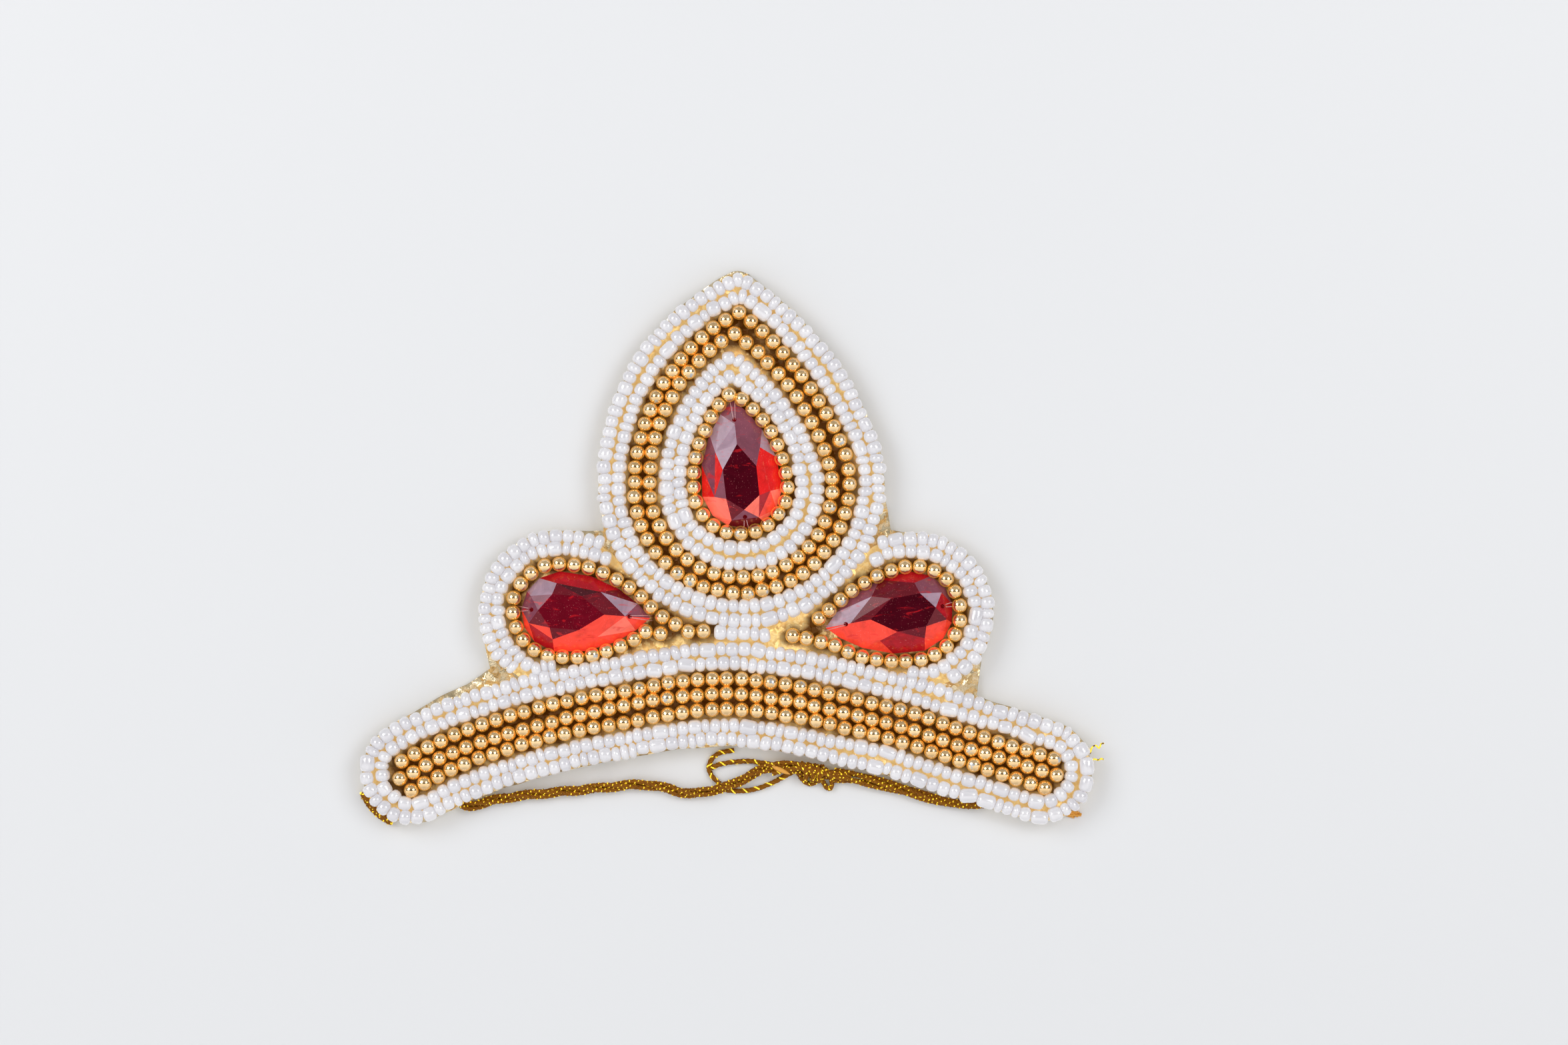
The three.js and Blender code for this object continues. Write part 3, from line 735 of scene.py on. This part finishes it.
for seed, (name, ends) in enumerate(FILLS.items(), 71):
    counts[name] = white_row(name, np.array(ends), seed)
print("white beads:", sum(counts.values()), counts)

# %% [markdown]
# ## Board and cloth
# The solids already have the right outline, so the look starts from a merged copy of each. Planes
# cut the copy into small squares, then every point is moved a little: the foil lies in creases
# over the card and the tissue puffs up between the stitches. Between the gold beads the tissue
# only gets light that has turned orange on them, so a number on its points marks these parts
# for a painted shade.

# %% Board and cloth pieces
RELIEF_STEP = 1.6 * MM
FOIL_CREASE = 0.0003
FOIL_BACK = 0.00002
TISSUE_PUFF = 0.00012


def mesh_of(bm, name, *materials):
    """The mesh of a bmesh that is done with."""
    mesh = bpy.data.meshes.new(name)
    bm.to_mesh(mesh)
    bm.free()
    for material in materials:
        mesh.materials.append(material)
    return mesh


def relief_copy(node_name, name, lift, material, slot):
    """A copy of a solid, cut into squares and given a relief by lift(point, normal)."""
    bm = bmesh.new()
    bm.from_mesh(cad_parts[node_name].data)
    bmesh.ops.remove_doubles(bm, verts=bm.verts, dist=1e-6)
    bmesh.ops.dissolve_limit(bm, angle_limit=math.radians(0.5), verts=bm.verts, edges=bm.edges)
    bmesh.ops.triangulate(bm, faces=bm.faces)
    low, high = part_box(node_name)
    for axis in (0, 1):
        normal = Vector((axis == 0, axis == 1, 0))
        for value in np.arange(low[axis] + RELIEF_STEP, high[axis], RELIEF_STEP):
            bmesh.ops.bisect_plane(bm, geom=bm.verts[:] + bm.edges[:] + bm.faces[:],
                                   plane_co=normal * value, plane_no=normal, dist=1e-7)
    bm.normal_update()
    for vert in bm.verts:
        vert.co += lift(vert.co, vert.normal)
    mesh = mesh_of(bm, name, material)
    mesh.shade_smooth()
    finish_piece(add_object(name, mesh), slot, node_name)
    print(name, len(mesh.polygons), "faces")
    return mesh


def foil_lift(co, normal):
    crease = abs(noise.noise(co * 300)) - 0.25
    if normal.z < -0.5:
        return Vector((0, 0, FOIL_BACK))
    return normal * crease * FOIL_CREASE


def tissue_lift(co, normal):
    puff = noise.noise(co * 420)
    return Vector((0, 0, TISSUE_PUFF * puff)) if normal.z > 0.5 else Vector()


# How near a gold row the tissue takes the painted shade, and the width over which it fades.
SHADE_REACH = 2.45
SHADE_FADE = 0.9
relief_copy("backing_board", "foil_board", foil_lift, FOIL, "foil")
tissue = relief_copy("face_cloth", "tissue_face", tissue_lift, TISSUE, "cloth")
gold_lines = [drop(CREST_ROWS[row], CREST) for row in ("gold_inner", "gold_outer", "bezel")]
gold_lines += [*lobe_strings.values(), *[evened(line) for line in band_gold_lines.values()]]
gold_lines = np.vstack([line[::3] for line in gold_lines])
corners = np.array([vert.co[:2] for vert in tissue.vertices]) / MM
nearest = np.array([np.min(np.linalg.norm(gold_lines - corner, axis=1)) for corner in corners])
add_number(tissue, "painted_shade", np.clip((SHADE_REACH - nearest) / SHADE_FADE, 0, 1))

# %% [markdown]
# ## Cut stones
# A brilliant-cut drop has a flat table, a ring of crown facets and a girdle. Its corner points lie
# on three outlines, one above the other. A convex hull could skin these points, but here a list
# says which corners each facet joins, because each can then take its own tone from a short
# chart: the foil behind sends the light back through some facets and not through others.

# %% Stone form
STONE = dict(radius=8.3, height=18.1, girdle=0.8, crown=2.7, thick=4.3)
STONE_TABLE = [(8.8, 0), (3.9, 3.45), (-2.1, 3.4), (-4.7, 0), (-2.1, -3.4), (3.9, -3.45)]
STONE_CROWN = [(13, 0), (7.7, 4.6), (-1.4, 5.75), (-6.5, 2.8), (-6.5, -2.8), (-1.4, -5.75),
               (7.7, -4.6)]
STONE_RIM = [0, 17, 38, 66, 97, 128, 154, 180]
STONES = {
    "centre": dict(at=(3.07, 12.15), tilt=6.3),
    "left": dict(at=(-33.7, -13.3), tilt=-94),
    "right": dict(at=(38, -13.3), tilt=100.5),
}


def rim_point(degrees):
    """A point of the girdle as (along, aside), with 0 degrees at the tip."""
    centre, radius, tip = side_arc(STONE["radius"], STONE["height"], 0)
    if degrees <= 90:
        angle = tip * (1 - degrees / 90)
        return radius * math.sin(angle), radius * math.cos(angle) + centre[0]
    angle = math.radians(degrees - 90)
    return -STONE["radius"] * math.sin(angle), STONE["radius"] * math.cos(angle)


rim_half = [rim_point(d) for d in STONE_RIM]
STONE_OUTLINE = rim_half + [(t, -s) for t, s in reversed(rim_half[1:-1])]
print("girdle points:", len(STONE_OUTLINE))

# %% [markdown]
# The chart has one letter for each facet, clockwise from the tip: three for each crown corner (the
# two girdle facets under it and the one that links it to the next corner), then the facets
# between the crown and the table, then the table.

# %% Facet tones
# Painted light in every tone: W, D, C, R, F and P are foil light returned through a facet, from
# darkest to brightest; M and L are painted reflections of the room.
TONES = {
    "W": (0.055, 0.001, 0.006), "D": (0.13, 0.002, 0.010), "C": (0.36, 0.004, 0.012),
    "R": (0.70, 0.012, 0.012), "F": (0.90, 0.058, 0.034), "P": (0.97, 0.165, 0.115),
    "M": (0.20, 0.055, 0.085), "L": (0.36, 0.24, 0.31),
}
SIDE_TONE = "C"
FACET_CHART = {
    "centre": "MMM MLR RPF PDD DPP PRM MLL MRRCPMDPMRLW",
    "left": "MFP FFF FCC FFM MLL CCC CDL FFDFDMMLDWDD",
    "right": "FLL MMD CCM MMC CFF FCC FFF DDDMLCDFDCFW",
}
print("tones:", len(TONES))


# %% Make a stone
def stone_faces():
    """Facets as lists of (ring, index): ring 1 is the girdle's top, 2 the crown, 3 the table."""
    faces = []
    for owner in range(7):
        low = 2 * owner - 1
        faces += [[(1, low), (1, low + 1), (2, owner)], [(1, low + 1), (1, low + 2), (2, owner)]]
        faces.append([(2, owner), (1, low + 2), (2, owner + 1)])
    faces.append([(2, 0), (2, 1), (3, 1), (3, 0)])
    for corner in range(1, 6):
        faces.append([(2, corner), (2, corner + 1), (3, corner)])
        if corner < 5:
            faces.append([(3, corner), (2, corner + 1), (3, corner + 1)])
    faces.append([(2, 6), (2, 0), (3, 0), (3, 5)])
    faces.append([(3, i) for i in range(6)])
    return faces


def ring_edges(bm, ring):
    pairs = zip(ring, ring[1:] + ring[:1])
    return [bm.edges.get(pair) or bm.edges.new(pair) for pair in pairs]


def make_stone(name, at, tilt):
    rings = [(STONE_OUTLINE, 0), (STONE_OUTLINE, STONE["girdle"]), (STONE_CROWN, STONE["crown"]),
             (STONE_TABLE, STONE["thick"])]
    bm = bmesh.new()
    tone_layer = bm.loops.layers.float_color.new("facet")
    points = []
    for ring, height in rings:
        plan = turned(np.array([(s, t) for t, s in ring]), tilt, at)
        points.append([bm.verts.new((x * MM, y * MM, (BEAD_BASE + height) * MM))
                       for x, y in plan])

    def paint(face, letter):
        for loop in face.loops:
            loop[tone_layer] = (*TONES[letter], 1)

    for face, letter in zip(stone_faces(), FACET_CHART[name].replace(" ", ""), strict=True):
        paint(bm.faces.new([points[ring][i % len(points[ring])] for ring, i in face]), letter)
    paint(bm.faces.new(reversed(points[0])), SIDE_TONE)
    edges = [edge for ring in points[:2] for edge in ring_edges(bm, ring)]
    for face in bmesh.ops.bridge_loops(bm, edges=edges)["faces"]:
        paint(face, SIDE_TONE)
    bmesh.ops.recalc_face_normals(bm, faces=bm.faces)
    mesh = mesh_of(bm, f"stone_{name}_cut", RUBY)
    piece = add_object(mesh.name, mesh)
    drill(piece, turned(np.array([(0, t) for t in STONE_HOLES]), tilt, at))
    finish_piece(piece, "ruby", f"stone_{name}")
    return len(piece.data.polygons)


# %% [markdown]
# Each stone has two sewing holes. A boolean cuts them and its result becomes the stone's mesh, so
# nothing stays live, and removing the drill's mesh removes its object too. The holes stop in the
# foil behind the stone. Their walls come out of the cut without a tone and take the sides' one.

# %% Sewing holes
STONE_HOLES = [13.9, -6.15]
HOLE_RADIUS = 0.45
HOLE_BOTTOM = 3.8
DRILL_LENGTH = 12


def drill(piece, spots):
    bm = bmesh.new()
    for x, y in spots:
        at = Matrix.Translation((x * MM, y * MM, (HOLE_BOTTOM + DRILL_LENGTH / 2) * MM))
        bmesh.ops.create_cone(bm, cap_ends=True, segments=12, radius1=HOLE_RADIUS * MM,
                              radius2=HOLE_RADIUS * MM, depth=DRILL_LENGTH * MM, matrix=at)
    cutter = add_object("drill", mesh_of(bm, "drill"))
    cut = piece.modifiers.new("holes", "BOOLEAN")
    cut.object, cut.operation, cut.solver = cutter, "DIFFERENCE", "EXACT"
    bpy.context.view_layer.update()
    shown = piece.evaluated_get(bpy.context.evaluated_depsgraph_get())
    drilled = bpy.data.meshes.new_from_object(shown)
    piece.modifiers.clear()
    piece.data = drilled
    tones = np.empty(len(drilled.loops) * 4, np.float32)
    layer = drilled.color_attributes["facet"].data
    layer.foreach_get("color", tones)
    tones = tones.reshape(-1, 4)
    tones[tones[:, :3].min(axis=1) > 0.99] = (*TONES[SIDE_TONE], 1)
    layer.foreach_set("color", tones.ravel())
    bpy.data.meshes.remove(cutter.data)


for name, spot in STONES.items():
    print(name, "stone has", make_stone(name, **spot), "facets")

# %% [markdown]
# ## The tie cord
# The cord is a brown-gold yarn of three plies with a flat yellow metal thread wound round it, which
# shows as a row of bright dashes. Three strands of it lie side by side from the band's left
# end to a knot, and four from there to the right. Each ply is a line that winds round the
# strand's own line; curves with a round bevel turn the lines into tubes.

# %% Cord finishes
YARN_TONES = (0.10, 0.030, 0.001), (0.38, 0.138, 0.005)
YARN_DULL = (0.26, 0.098, 0.003)
METAL_PAINTED_GLINT_TONES = (0.16, 0.05, 0.002), (1.0, 0.74, 0.05)
METAL_PAINTED_GLINT_GLOW = (0.54, 0.35, 0.008)


def make_yarn():
    material, tree, shader = start_material("brown gold yarn")
    at = place(tree)
    fibre = cloud(tree, at, 2200, 3)
    dull = ramp(tree, cloud(tree, at, 180, 1), [(0.4, 0), (0.6, 0.5)])
    wire(tree, shader, {
        "Base Color": mix(tree, dull, mix(tree, fibre, *YARN_TONES), YARN_DULL),
        "Roughness": 0.6,
        "Specular IOR Level": 0.15,
        "Normal": bump(tree, fibre, 0.6, 0.0002),
    })
    return tell(material)


def make_metal_thread():
    material, tree, shader = start_material("yellow metal thread")
    # Painted glint: where a noise is high the thread is bright yellow with a glow, elsewhere dark
    # brown.
    painted_glint = ramp(tree, cloud(tree, place(tree), 1100, 1), [(0.40, 0), (0.45, 1)])
    wire(tree, shader, {
        "Base Color": mix(tree, painted_glint, *METAL_PAINTED_GLINT_TONES),
        "Metallic": 0.5,
        "Roughness": 0.25,
        "Emission Color": mix(tree, painted_glint, (0, 0, 0), METAL_PAINTED_GLINT_GLOW),
        "Emission Strength": 1,
    })
    return tell(material)


YARN = make_yarn()
METAL_THREAD = make_metal_thread()

# %% Cord routes
CORD_LEFT = [
    (-54.4, -52.7), (-52.7, -53.1), (-50.4, -52.6), (-47.2, -51.75), (-43, -51.1), (-39.6, -50.7),
    (-35.5, -50.3), (-31.4, -49.9), (-27.3, -49.5), (-23.3, -49.1), (-19.2, -48.7), (-15.8, -48.8),
    (-12.4, -49.4), (-9.6, -50.2), (-6.9, -50.5), (-4.2, -50.1), (-0.8, -49.3), (2, -48.3),
    (4.7, -46.8), (7.4, -45.6), (10.2, -45.1), (13.6, -45.4),
]
CORD_RIGHT = [
    (22.1, -46.8), (25.4, -47.1), (28.4, -47.8), (31.4, -48.5), (34.2, -49.2), (37, -50),
    (39.8, -50.9), (42.6, -51.7), (45.4, -52.3), (48.4, -52.7), (50.6, -52.8), (52.6, -52.7),
]
CORD_LOOP = [
    (1.4, -41.7), (0.1, -41.9), (-1.4, -42.2), (-2.8, -43.1), (-3.5, -44.3), (-3.7, -45.4),
    (-3.3, -46.6), (-2.5, -47.6), (-1.4, -48.5),
]
CORD_STRAND = [
    (-3.2, -45.3), (-1.6, -44.6), (0.4, -44.2), (2.4, -44), (4.6, -43.9), (6.8, -44.2),
    (8.8, -44.5), (10.6, -44.9),
]
CORD_TAIL = [
    (-1.2, -49.6), (1.3, -50), (4.4, -49.9), (7.2, -49.2), (9.8, -48.1), (12, -46.9),
    (14.2, -45.9), (16.4, -45.4),
]
print("route points:", len(CORD_LEFT + CORD_RIGHT))

# %% Cord helpers
STRAND_RADIUS = 0.66
BUNDLE_HEIGHT = 1.4
PLY_RADIUS = 0.3
PLY_WIND = 0.24
PLY_PITCH = 3.1
METAL_WIND = 0.42


def even_strand(points, per_span=8):
    return evened(smooth_line(points, per_span), 0.35)


def with_height(points, height):
    return even_strand([(x, y, height) for x, y in points])


def wound(line, radius, pitch, phase, flat=1.0):
    """A line that winds round another, at one radius and with one turn for each pitch."""
    way = np.gradient(line, axis=0)
    way /= np.linalg.norm(way, axis=1)[:, None]
    side = np.cross([0.0, 0.0, 1.0], way)
    side /= np.linalg.norm(side, axis=1)[:, None]
    up = np.cross(way, side)
    angle = 2 * math.pi * lengths(line) / pitch + phase
    return line + radius * (np.cos(angle)[:, None] * side + flat * np.sin(angle)[:, None] * up)


def tubes(lines, radius, resolution, material, taper=None):
    """Round tubes along lines, as one mesh. taper lists shares of the radius from end to end."""
    curve = bpy.data.curves.new("tubes", "CURVE")
    curve.dimensions = "3D"
    curve.bevel_depth = radius * MM
    curve.bevel_resolution = resolution
    curve.use_fill_caps = True
    curve.materials.append(material)
    for line in lines:
        spline = curve.splines.new("POLY")
        spline.points.add(len(line) - 1)
        spline.points.foreach_set("co", np.column_stack([line * MM, np.ones(len(line))]).ravel())
        if taper:
            at = np.linspace(0, len(taper) - 1, len(line))
            spline.points.foreach_set("radius", np.interp(at, range(len(taper)), taper))
        spline.use_smooth = True
    holder = bpy.data.objects.new("tubes", curve)
    mesh = bpy.data.meshes.new_from_object(holder)
    bpy.data.curves.remove(curve)
    return mesh


def join_meshes(name, meshes):
    """One smooth object of several meshes, each with its own material."""
    bm = bmesh.new()
    materials = []
    for mesh in meshes:
        first = len(bm.faces)
        bm.from_mesh(mesh)
        bm.faces.ensure_lookup_table()
        for face in bm.faces[first:]:
            face.material_index = len(materials)
            face.smooth = True
        materials += list(mesh.materials)
        bpy.data.meshes.remove(mesh)
    whole = mesh_of(bm, name, *materials)
    print(name, "has", len(whole.polygons), "faces")
    return add_object(name, whole)


def strands(name, lines, dash_pitch=0.9, phase=0.0, metal_radius=0.24):
    """Yarn strands along lines: three plies each, and the metal thread round them."""
    plies = [wound(line, PLY_WIND, PLY_PITCH, phase + i + k * 2 * math.pi / 3)
             for i, line in enumerate(lines) for k in range(3)]
    metal = [wound(line, METAL_WIND, dash_pitch, phase + 2 * i) for i, line in enumerate(lines)]
    return join_meshes(name, [tubes(plies, PLY_RADIUS, 1, YARN),
                              tubes(metal, metal_radius, 1, METAL_THREAD)])


# %% [markdown]
# The strands of the bundle wind slowly round each other. On the right they fan out towards the
# knot, so their winding radius grows there. The knot is three turns round the bundle, a slack
# bight that hangs below it, and strands that pass over it.

# %% Cord pieces
WRAP_RADIUS = 11.15
WRAP_ANGLES = np.radians([202, 247])

left_line = with_height(CORD_LEFT, BUNDLE_HEIGHT)
right_line = with_height(CORD_RIGHT, BUNDLE_HEIGHT)
through = with_height([CORD_LEFT[-1], (17.8, -46.3), CORD_RIGHT[0]], BUNDLE_HEIGHT)
left_strands = [wound(left_line, 0.62, 21, 2.1 * k, 0.9) for k in range(3)]
fan = np.linspace(1.5, 0.5, len(right_line))[:, None]
right_strands = [right_line + fan * (wound(right_line, 0.7, 40, 1.6 * k, 0.75) - right_line)
                 for k in range(4)]
middle_strands = [wound(through, 0.62, 12, 2.1 * k, 0.9) for k in range(3)]
cord_piece = strands("tie_cord", left_strands + right_strands + middle_strands)
finish_piece(cord_piece, "cord", "tie_cord_left", "tie_cord_right")

turns = np.linspace(0, 3 * 2 * math.pi, 90)
share = turns / turns[-1]
wrap_turns = np.column_stack([15.4 + 4.2 * share + 0.4 * np.sin(turns),
                              -45.9 - 0.6 * share + 1.6 * np.cos(turns),
                              1.9 + 1.3 * np.sin(turns)])
KNOT_STRANDS = [
    [(15.4, -45.2, 2.7), (16.6, -46.4, 2.6), (18.2, -47, 2.2), (19.5, -47.9, 1.2),
     (20.2, -49, 0.8), (20.9, -49.6, 0.8), (21.5, -49, 0.8), (21.4, -47.8, 1.2),
     (20.9, -46.6, 1.9), (20.2, -45.4, 2.7)],
    [(14.6, -46.3, 0.8), (15.8, -48, 0.8), (17.2, -48.6, 0.7), (18.3, -47.9, 1.3),
     (17.9, -46.2, 2.9)],
    [(8, -45, 1.6), (10.6, -44.3, 2), (13.4, -44.3, 2.2), (16.2, -44.8, 2.6),
     (19.2, -45.8, 2.6), (22.4, -46.4, 2.2), (25.4, -47, 1.8)],
    [(9.4, -46.4, 2.6), (12.2, -45.6, 2.9), (15, -45.3, 3.1), (17.8, -46, 3.1),
     (20.8, -46.6, 2.7), (24, -47.6, 2)],
]
knot_lines = [even_strand(strand, 10) for strand in KNOT_STRANDS]
knot_piece = strands("tie_knot_turns", [evened(wrap_turns, 0.35), *knot_lines], 1.3, 0.5, 0.19)
finish_piece(knot_piece, "cord", "tie_knot")

for name, route, pitch, phase in [("loop", CORD_LOOP, 2.0, 0.4), ("strand", CORD_STRAND, 2.3, 1.0),
                                  ("tail", CORD_TAIL, 2.6, 2.0)]:
    piece = strands(f"tie_{name}_yarn", [with_height(route, STRAND_RADIUS)], pitch, phase, 0.18)
    finish_piece(piece, "cord", "tie_" + name)

wrap_lines = []
for aside, height in ((-0.25, 1.7), (0.3, 0.8)):
    line = arc(BAND_CENTRELINE[0], WRAP_RADIUS + aside, *WRAP_ANGLES)
    wrap_lines.append(evened(np.column_stack([line, np.full(len(line), height)]), 0.35))
wrap_piece = strands("edge_wrap_yarn", wrap_lines, 0.9, 0.0, 0.28)
finish_piece(wrap_piece, "cord", "edge_wrap")

# %% [markdown]
# ## Loose ends and sewing threads
# Where the cord was cut at the right end, a short orange tuft sticks out, and wisps of the metal
# thread stand away from the beads. Each stone is held by clear thread that leaves its two holes
# and goes over its edge. Plain thin tubes are enough for all of these.

# %% Sewing threads
THREAD_RADIUS = 0.07
THREAD_SPREAD = (0.18, 0.55)
THREAD_ENDS = [(STONE_HOLES[0], 18.6, 1.6), (STONE_HOLES[1], -9.2, 1.9)]


def make_plain(name, colour, rough):
    material, tree, shader = start_material(name)
    darker = tuple(0.7 * c for c in colour)
    colour = mix(tree, cloud(tree, place(tree), 3000, 2), darker, colour)
    wire(tree, shader, {"Base Color": colour, "Roughness": rough, "Metallic": 0.0})
    return tell(material)


CLEAR = make_plain("clear thread", (0.80, 0.45, 0.47), 0.15)


def straight(points):
    return evened(np.array(points, float), 0.3)


def add_tubes(name, slot, *tube):
    finish_piece(join_meshes(name, [tubes(*tube)]), slot)


def stone_threads(at, tilt):
    """Two threads from each hole over the nearest edge of the stone."""
    top = BEAD_BASE + STONE["thick"]
    runs = []
    for hole, edge, low in THREAD_ENDS:
        for spread in (-1, 1):
            s0, s1 = (reach * spread for reach in THREAD_SPREAD)
            heights = [top - low - 1.0, top - low, top - low - 0.35, BEAD_BASE + 0.6, BEAD_BASE]
            shares = [0.0, 0.12, 0.55, 0.92, 1.0]
            plan = np.array([(s0 + (s1 - s0) * k, hole + (edge - hole) * k) for k in shares])
            runs.append(straight(np.column_stack([turned(plan, tilt, at), heights])))
    return runs


thread_runs = [run for spot in STONES.values() for run in stone_threads(**spot)]
add_tubes("stone_threads", "pearl", thread_runs, THREAD_RADIUS, 0, CLEAR)

# %% Tuft and wisps
RIGHT_TUFT = (69.6, -54.4)
TUFT_HAIRS = 26
WISP_HEIGHT = 3.6
WISPS = [
    [(73.6, -41), (74.2, -42.3), (74.6, -41.1), (75.4, -40.6), (76.1, -41.2), (76.5, -40.3),
     (77.1, -40.2)],
    [(74.2, -43.9), (75.1, -43.4), (75.9, -43.6), (76.6, -43.3), (77, -43.5)],
    [(74, -48.6), (74.7, -48.2), (74.9, -47.8)],
]
FRAY = make_plain("orange cut end", (0.90, 0.42, 0.06), 0.6)

rng = np.random.default_rng(81)
hairs = []
for i in range(TUFT_HAIRS):
    start = np.array([RIGHT_TUFT[0] - 0.3, RIGHT_TUFT[1] + rng.uniform(-0.55, 0.55),
                      0.5 + rng.uniform(-0.2, 0.5)])
    reach = rng.uniform(1.6, 3.4)
    end = start + [reach, rng.uniform(-0.5, 0.3) - 0.1 * reach, rng.uniform(-0.25, 0.15)]
    hairs.append(straight([start, (start + end) / 2 + rng.normal(0, 0.08, 3), end]))
add_tubes("cut_end_tuft", "cord", hairs, 0.2, 0, FRAY)
flat_end = straight([(9.3, -44.9, 3.3), (11.2, -45.7, 3.6), (12.9, -46.5, 3.5)])
add_tubes("pressed_cut_end", "cord", [flat_end], 0.5, 1, FRAY, [0.3, 0.9, 1, 0.8, 0.15])

wisp_lines = []
for wisp in WISPS:
    raised = [(x, y, WISP_HEIGHT + 0.25 * math.sin(3 * i)) for i, (x, y) in enumerate(wisp)]
    wisp_lines.append(evened(smooth_line(raised, 6), 0.25))
add_tubes("metal_wisps", "cord", wisp_lines, 0.17, 0, METAL_THREAD)

# %% [markdown]
# ## The light
# A soft studio: a pale room all round and two large windows of light, one on each side of the
# camera. The strip of room behind the camera is dark, which gives each gold bead the thin
# dark line across its middle. A ramp of greys gives the room and is quick to tune.

# %% Light and floor
ROOM_STOPS = [
    (0.0, 0.6), (0.2, 1.0), (0.42, 1.3), (0.50, 1.25), (0.52, 0.03), (0.57, 0.03), (0.61, 0.3),
    (0.75, 0.3), (0.8, 0.6), (1.0, 0.5),
]
ROOM_STRENGTH = 0.88
BACKDROP = (0.85, 0.86, 0.87)
FLOOR_COLOUR = (0.77, 0.78, 0.80, 1)
FLOOR_HALF = 3


def make_world():
    world = bpy.data.worlds.new("studio")
    world.use_nodes = True
    bpy.context.scene.world = world
    tree = world.node_tree
    tree.nodes.clear()
    way = node(tree, "TexCoord", {}).outputs["Generated"]
    along_y = node(tree, "SeparateXYZ", {0: way}).outputs["Y"]
    shifted = work_out(tree, "Math", "MULTIPLY_ADD", cloud(tree, way, 5.0, 3), 0.16, along_y)
    share = node(tree, "MapRange", {0: shifted, 1: -1, 2: 1, 3: 0, 4: 1}).outputs[0]
    seen = node(tree, "LightPath", {}).outputs["Is Camera Ray"]
    colour = mix(tree, seen, ramp(tree, share, ROOM_STOPS), BACKDROP)
    room = node(tree, "Background", {"Color": colour, "Strength": ROOM_STRENGTH})
    node(tree, "OutputWorld", {0: room.outputs[0]})


def soft_box(name, at, size, power):
    light = bpy.data.lights.new(name, "AREA")
    light.shape = "RECTANGLE"
    light.size, light.size_y = size
    light.energy = power
    lamp = add_object(name, light)
    lamp.location = at
    lamp.rotation_euler = (-Vector(at)).to_track_quat("-Z", "Y").to_euler()
    lamp.visible_camera = False
    print(name, "of", power, "W")


def make_floor():
    bm = bmesh.new()
    bmesh.ops.create_grid(bm, x_segments=1, y_segments=1, size=FLOOR_HALF)
    material, tree, shader = start_material("pale floor")
    wire(tree, shader, {"Base Color": FLOOR_COLOUR, "Roughness": 0.5})
    add_object("floor", mesh_of(bm, "floor", material))


make_world()
soft_box("window left", (-0.74, 0.36, 0.88), (0.68, 0.68), 5.2)
soft_box("window right", (0.66, 0.28, 0.97), (0.58, 0.6), 4.0)
make_floor()
